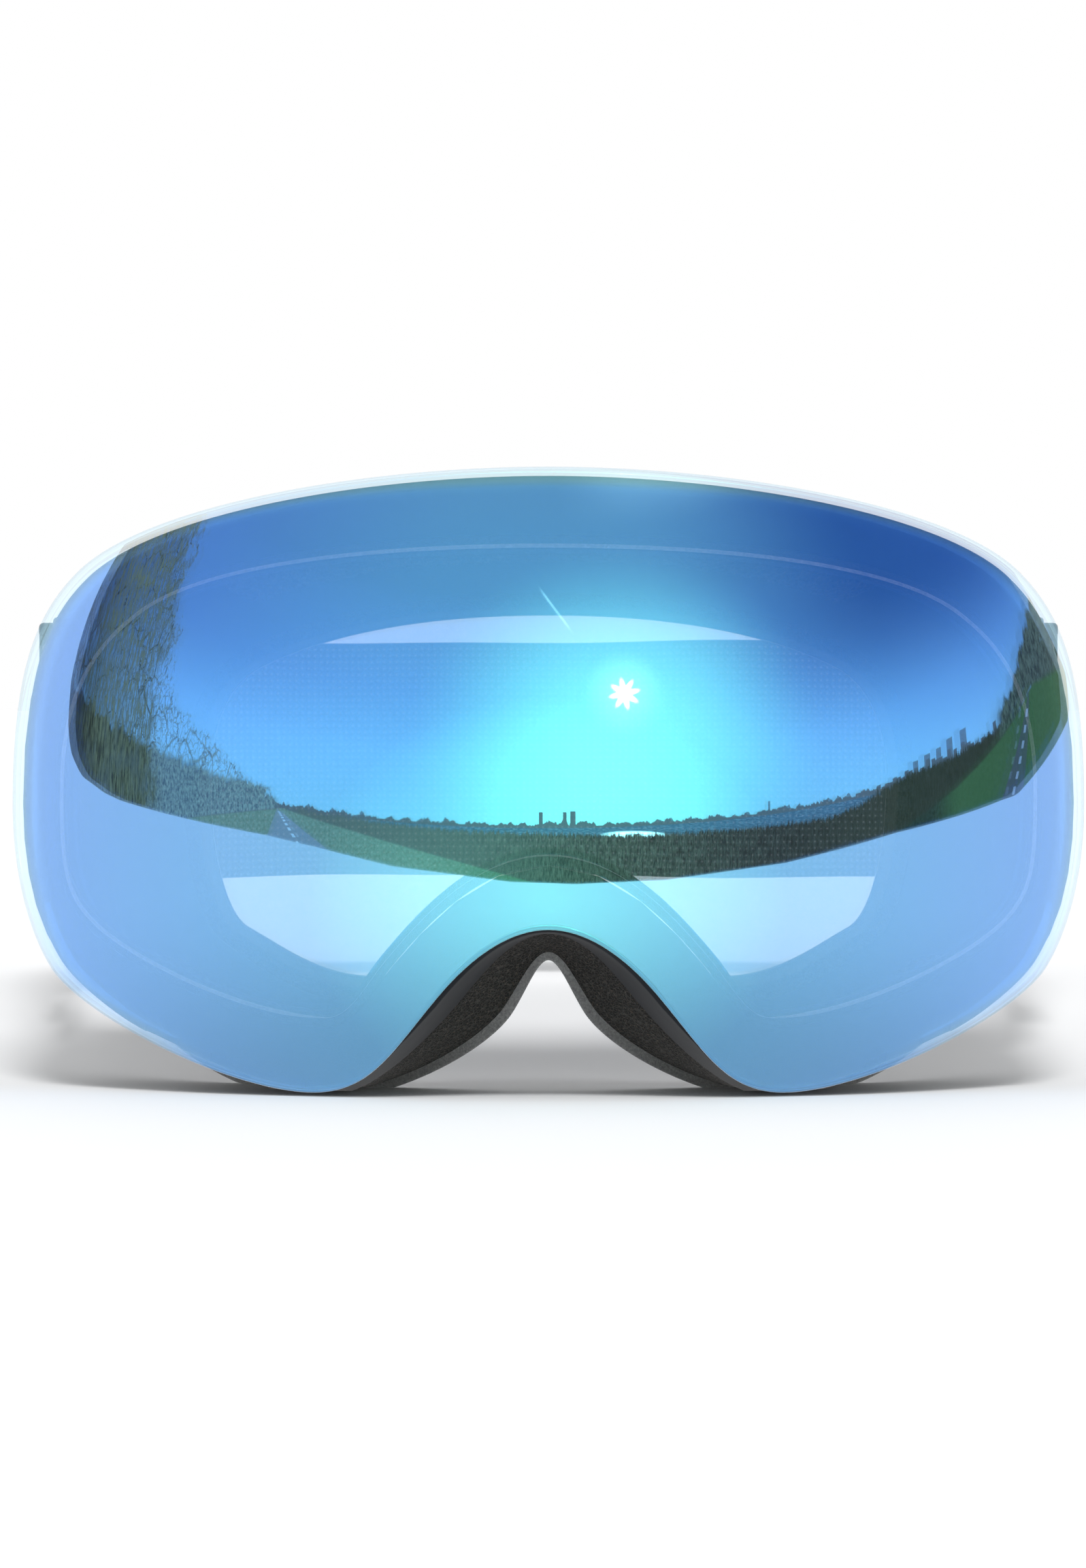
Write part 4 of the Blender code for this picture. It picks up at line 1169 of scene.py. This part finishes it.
# the world is plain, but shiny surfaces see the lake
def worldNodes():
    world = bpy.data.worlds.new("studio")
    bpy.context.scene.world = world
    world.use_nodes = True
    tree = world.node_tree
    n = Nodes(tree)
    x, y, z = n.parts(n.node("TexCoord", out="Generated"))
    turn = x.maths("ARCTAN2", -y) * (180 / math.pi)
    up = z.maths("ARCSINE") * (180 / math.pi)

    def spot(wide, tall, shift=0.0):
        return n.node("CombineXYZ", sockets={"X": turn * wide, "Y": up * tall, "Z": shift})

    def noiseAt(wide, tall, detail=4, rough=0.65, shift=0.0):
        return n.noise(1.0, detail, rough, vector=spot(wide, tall, shift))

    shore = turn * turn * 0.001 - 3.4
    height = up - shore

    sky = n.ramp((height / 46).maths("MAXIMUM", 0), *lake["sky"])
    sky = n.mix(turn.fade(14, 72) * up.fade(1, 24) * 0.95, sky, lake["skyRight"])
    sky = n.mix((-turn).fade(12, 92) * up.fade(2, 22) * 0.72, sky, lake["skyLeft"])
    sky = n.mix(abs(turn - 26).fade(26, 4) * up.fade(35, 43) * 0.5, sky, (1.3, 1.7, 1.5))
    wide, tall = (turn - 13) / 1.1, (up - 8) / 0.7
    sky = n.mix((1 - (wide * wide + tall * tall).maths("SQRT").fade(0, 38)) * 0.85, sky, lake["glow"])
    wide, tall = (turn - 14.4) / 1.1, (up - 13.7) / 0.764
    rays = (tall.maths("ARCTAN2", wide) * 8).maths("SINE") * 0.55 + 1.75
    away = (wide * wide + tall * tall).maths("SQRT")
    sky = n.mix((1 - away.fade(1.0, 8)) * 0.7, sky, (3.0, 4.4, 3.0))
    sky = n.mix(1 - (away / rays).fade(0.8, 1.35), sky, (16, 16, 16))
    trail = abs((turn + 1.7) * 0.89 + (up - 27.6)).fade(0.35, 0.1)
    sky = n.mix(trail * turn.fade(-2.4, 0) * (-turn).fade(-5, -3) * 0.7, sky, (2.6, 3.4, 2.6))

    banks = shore + (noiseAt(0.5, 0.1) - 0.42).maths("MAXIMUM", 0) * 3.2 + 0.12
    for at, tall, half in lake["towers"]:
        banks = banks.maths("MAXIMUM", shore + (abs(turn - at) < half) * tall)
    blocks = n.node("TexWhiteNoise", {"noise_dimensions": "1D"}, {"W": (turn * 1.1).maths("FLOOR")})
    banks = banks.maths("MAXIMUM", shore + blocks * turn.fade(46, 82) * 1.7)
    view = n.mix(1 - (up - banks).fade(-0.05, 0.06), sky, (0.42, 0.40, 0.36))
    ripples = noiseAt(1.2, 6, 3).fade(0.40, 0.72)
    water = n.mix(ripples * 0.6, (0.22, 0.38, 0.45), (0.8, 1.0, 1.0))
    glint = 1 - (((turn - 16) / 6) ** 2 + ((up + 4.4) / 0.5) ** 2).fade(0.3, 1.3)
    water = n.mix(glint, water, (6, 6, 5))
    view = n.mix((1 - (up - shore).fade(-0.22, -0.1)) * turn.fade(-36, -33), view, water)
    banked = turn.fade(52, 72) * 2.6

    reedTop = ((turn - 8) * (turn - 8)) * 0.00105 - 4.4 + banked + (noiseAt(2.2, 0.3, 8, 0.85) - 0.5) * 4.5
    blades = noiseAt(3.4, 0.7, 8, 0.85).fade(0.38, 0.62)
    reeds = n.mix(blades, (0.02, 0.015, 0.008), (0.52, 0.38, 0.24))
    reeds = n.mix(noiseAt(0.5, 0.7, 4, 0.7, 2.0).fade(0.45, 0.7) * 0.45, reeds, (0.03, 0.02, 0.012))
    reeds = n.mix(turn.fade(15, 50) * 0.5, reeds, (0.04, 0.035, 0.02))
    reeds = n.mix(turn.fade(40, 70) * 0.5, reeds, (0.17, 0.17, 0.07))
    reeds = n.mix((-turn).fade(-20, 30) * 0.75, reeds, (0.50, 0.50, 0.36))
    view = n.mix((1 - (up - reedTop).fade(-0.1, 0.12)) * turn.fade(-50, -46), view, reeds)
    meadow = (-1.2 - (turn + 50) * 0.2).maths("MINIMUM", (turn + 52) * 0.055 - 1.15)
    grass = n.mix(noiseAt(2.2, 2.2, 5, 0.75).fade(0.3, 0.7), (0.42, 0.54, 0.32), (0.84, 0.92, 0.62))
    grass = n.mix(turn.fade(-28, 4) * 0.7, grass, (0.16, 0.30, 0.10))
    view = n.mix((1 - (up - meadow).fade(-0.12, 0.12)) * (1 - turn.fade(4, 14)), view, grass)
    tarmac = n.mix(noiseAt(6, 6), (0.66, 0.66, 0.66), (0.88, 0.88, 0.86))
    start = up + 1.1
    middle, half = -51.6 - start * 0.66, -start * 1.36
    path = 1 - (abs(turn - middle) - half).fade(-0.15, 0.15)
    view = n.mix(path * (start < 0), view, tarmac)
    dashes = ((-start).maths("LOGARITHM", 2) * 16).maths("SINE") > -0.1
    dashes = (abs(turn + 51.6 + start * 0.98) < 0.28) * dashes * (start < -0.3)
    view = n.mix(dashes * 0.8, view, (2, 2, 2))

    # trees at the left: hanging fronds, then bare branches, then bushes
    left = -turn
    ragged = left + (noiseAt(0.32, 0.22, 8, 0.8, 1.0) - 0.5) * 22
    treeTop = (left - 52) * 0.42 + 0.2 + ragged.fade(77, 81) * 18 + (noiseAt(0.45, 0.25, 6, 0.75) - 0.5) * 7
    fronds = noiseAt(3.2, 0.42, 8, 0.76)
    willow = n.mix(fronds.fade(0.40, 0.60), (0.08, 0.07, 0.045), (0.64, 0.58, 0.26))
    willow = n.mix(noiseAt(0.4, 0.2, 3).fade(0.45, 0.7) * 0.5, willow, (0.42, 0.44, 0.34))
    willow = n.mix(left.fade(92, 103) * 0.8, willow, (0.06, 0.05, 0.02))
    bent = n.vector("ADD", spot(0.42, 0.30), n.noise(1.0, 4, 0.6, vector=spot(0.5, 0.5)))
    wood = n.node("TexVoronoi", {"feature": "DISTANCE_TO_EDGE"}, {"Vector": bent, "Scale": 0.8})
    twig = n.node("TexVoronoi", {"feature": "DISTANCE_TO_EDGE"}, {"Vector": bent, "Scale": 3.1})
    branches = (1 - wood.fade(0.01, 0.05)).maths("MAXIMUM", (1 - twig.fade(0.02, 0.10)) * 0.75)
    scrub = n.mix(noiseAt(2.4, 1.6, 7, 0.78).fade(0.38, 0.62), (0.26, 0.31, 0.33), (0.96, 1.02, 0.76))
    low = 1 - (up - shore - (noiseAt(0.6, 0.4, 5, 0.7) - 0.3) * 5).fade(0.4, 1.6)
    filled = left.fade(80, 98) * 0.55 + 0.1
    dense = low.maths("MAXIMUM", (fronds.fade(0.44, 0.53) * (1 - filled) + filled) * ragged.fade(78, 82))
    dense = dense.maths("MAXIMUM", branches)
    trees = n.mix(ragged.fade(77, 82), scrub, willow)
    covered = (1 - (up - treeTop).fade(-0.4, 0.3)) * left.fade(51, 53) * (up - meadow).fade(-0.05, 0.15)
    view = n.mix(covered * dense, view, trees)

    # grass bank, road and trees at the right
    bank = (turn - 69) * 0.33 - 3.5
    field = n.mix(noiseAt(2.0, 2.0, 5, 0.75).fade(0.3, 0.7), (0.07, 0.09, 0.04), (0.19, 0.22, 0.12))
    verge = n.mix(noiseAt(2.0, 2.0, 5, 0.75), (0.14, 0.26, 0.07), (0.34, 0.58, 0.17))
    field = n.mix(turn.fade(76, 84) * 0.8, field, verge)
    view = n.mix((1 - (up - bank).fade(-0.2, 0.2)) * turn.fade(66, 71), view, field)
    rightTop = turn.fade(92, 113) * 6 + shore * 0.55 + 4.0 + (noiseAt(0.6, 0.3, 5, 0.7, 4.0) - 0.5) * 4
    woods = n.mix(noiseAt(1.6, 1.0, 6, 0.75).fade(0.38, 0.62), (0.10, 0.10, 0.07), (0.44, 0.46, 0.26))
    above = (up - bank.maths("MINIMUM", 8.6)).fade(-0.2, 0.3)
    view = n.mix((1 - (up - rightTop).fade(-0.5, 0.4)) * turn.fade(93, 96) * above, view, woods)
    centre, half = (up - 1) * 0.85 + 98.2, (7.9 - up) * 0.32 + 0.25
    road = (1 - (abs(turn - centre) - half).fade(-0.15, 0.15)) * (up < 8.2)
    view = n.mix(road, view, (0.27, 0.28, 0.22))
    line = (abs(turn - centre) < 0.35) * ((up * 5).maths("SINE") > 0) * (up < 7)
    view = n.mix(line * 0.8, view, (1.2, 1.2, 1.2))

    # the picture ends at its own border, and around it there is the pale studio
    border = n.node("FloatCurve", sockets={"Value": (turn + 120) / 240})
    curve = border.link.node.mapping.curves[0]
    stops = [((a + 120) / 240, (e + 20) / 40) for a, e in lake["low"]]
    curve.points[0].location, curve.points[1].location = stops[0], stops[-1]
    for stop in stops[1:-1]:
        curve.points.new(*stop)
    for point in curve.points:
        point.handle_type = "VECTOR"
    border.link.node.mapping.update()
    overLow = (up - (border * 40 - 20)).fade(-0.05, 0.05)
    pastLeft = turn > (up - 9) * (up - 9) * 0.03 - 104
    pastRight = turn < 118 - (up - 8).maths("MAXIMUM", 0)
    plain = stage["shine"] * (1 - (-up).fade(9, 34) * 0.34)
    pale = n.node("CombineXYZ", sockets={"X": plain, "Y": plain, "Z": plain})
    view = n.mix(overLow * pastLeft * pastRight, pale, view)

    shiny, seen = n.node("LightPath", out="Is Glossy Ray"), n.node("LightPath", out="Is Camera Ray")
    flat = stage["fill"] + seen * (stage["backdrop"] - stage["fill"])
    around = n.node("CombineXYZ", sockets={"X": flat, "Y": flat, "Z": flat})
    plainRoom = n.node("Background", sockets={"Color": around})
    shore = n.node("Background", sockets={"Color": view})
    either = n.node("MixShader", sockets={0: shiny, 1: plainRoom, 2: shore})
    tree.links.new(either.link, tree.nodes["World Output"].inputs["Surface"])


worldNodes()

view = {"lens": 200.5, "distance": 1.4, "eye": 70.9 * mm, "down": 0.819, "left": 0.0357}
data = bpy.data.cameras.new("camera")
data.lens, data.sensor_width, data.sensor_fit = view["lens"], 36, "AUTO"
data.clip_start = 0.01
camera = bpy.data.objects.new("camera", data)
camera.location = (0, lensFront - view["distance"], view["eye"])
camera.rotation_euler = Euler((math.radians(90 - view["down"]), 0, math.radians(view["left"])))
bpy.context.scene.collection.objects.link(camera)
bpy.context.scene.camera = camera
bpy.context.scene.view_settings.view_transform = "Standard"
print("stage ready")
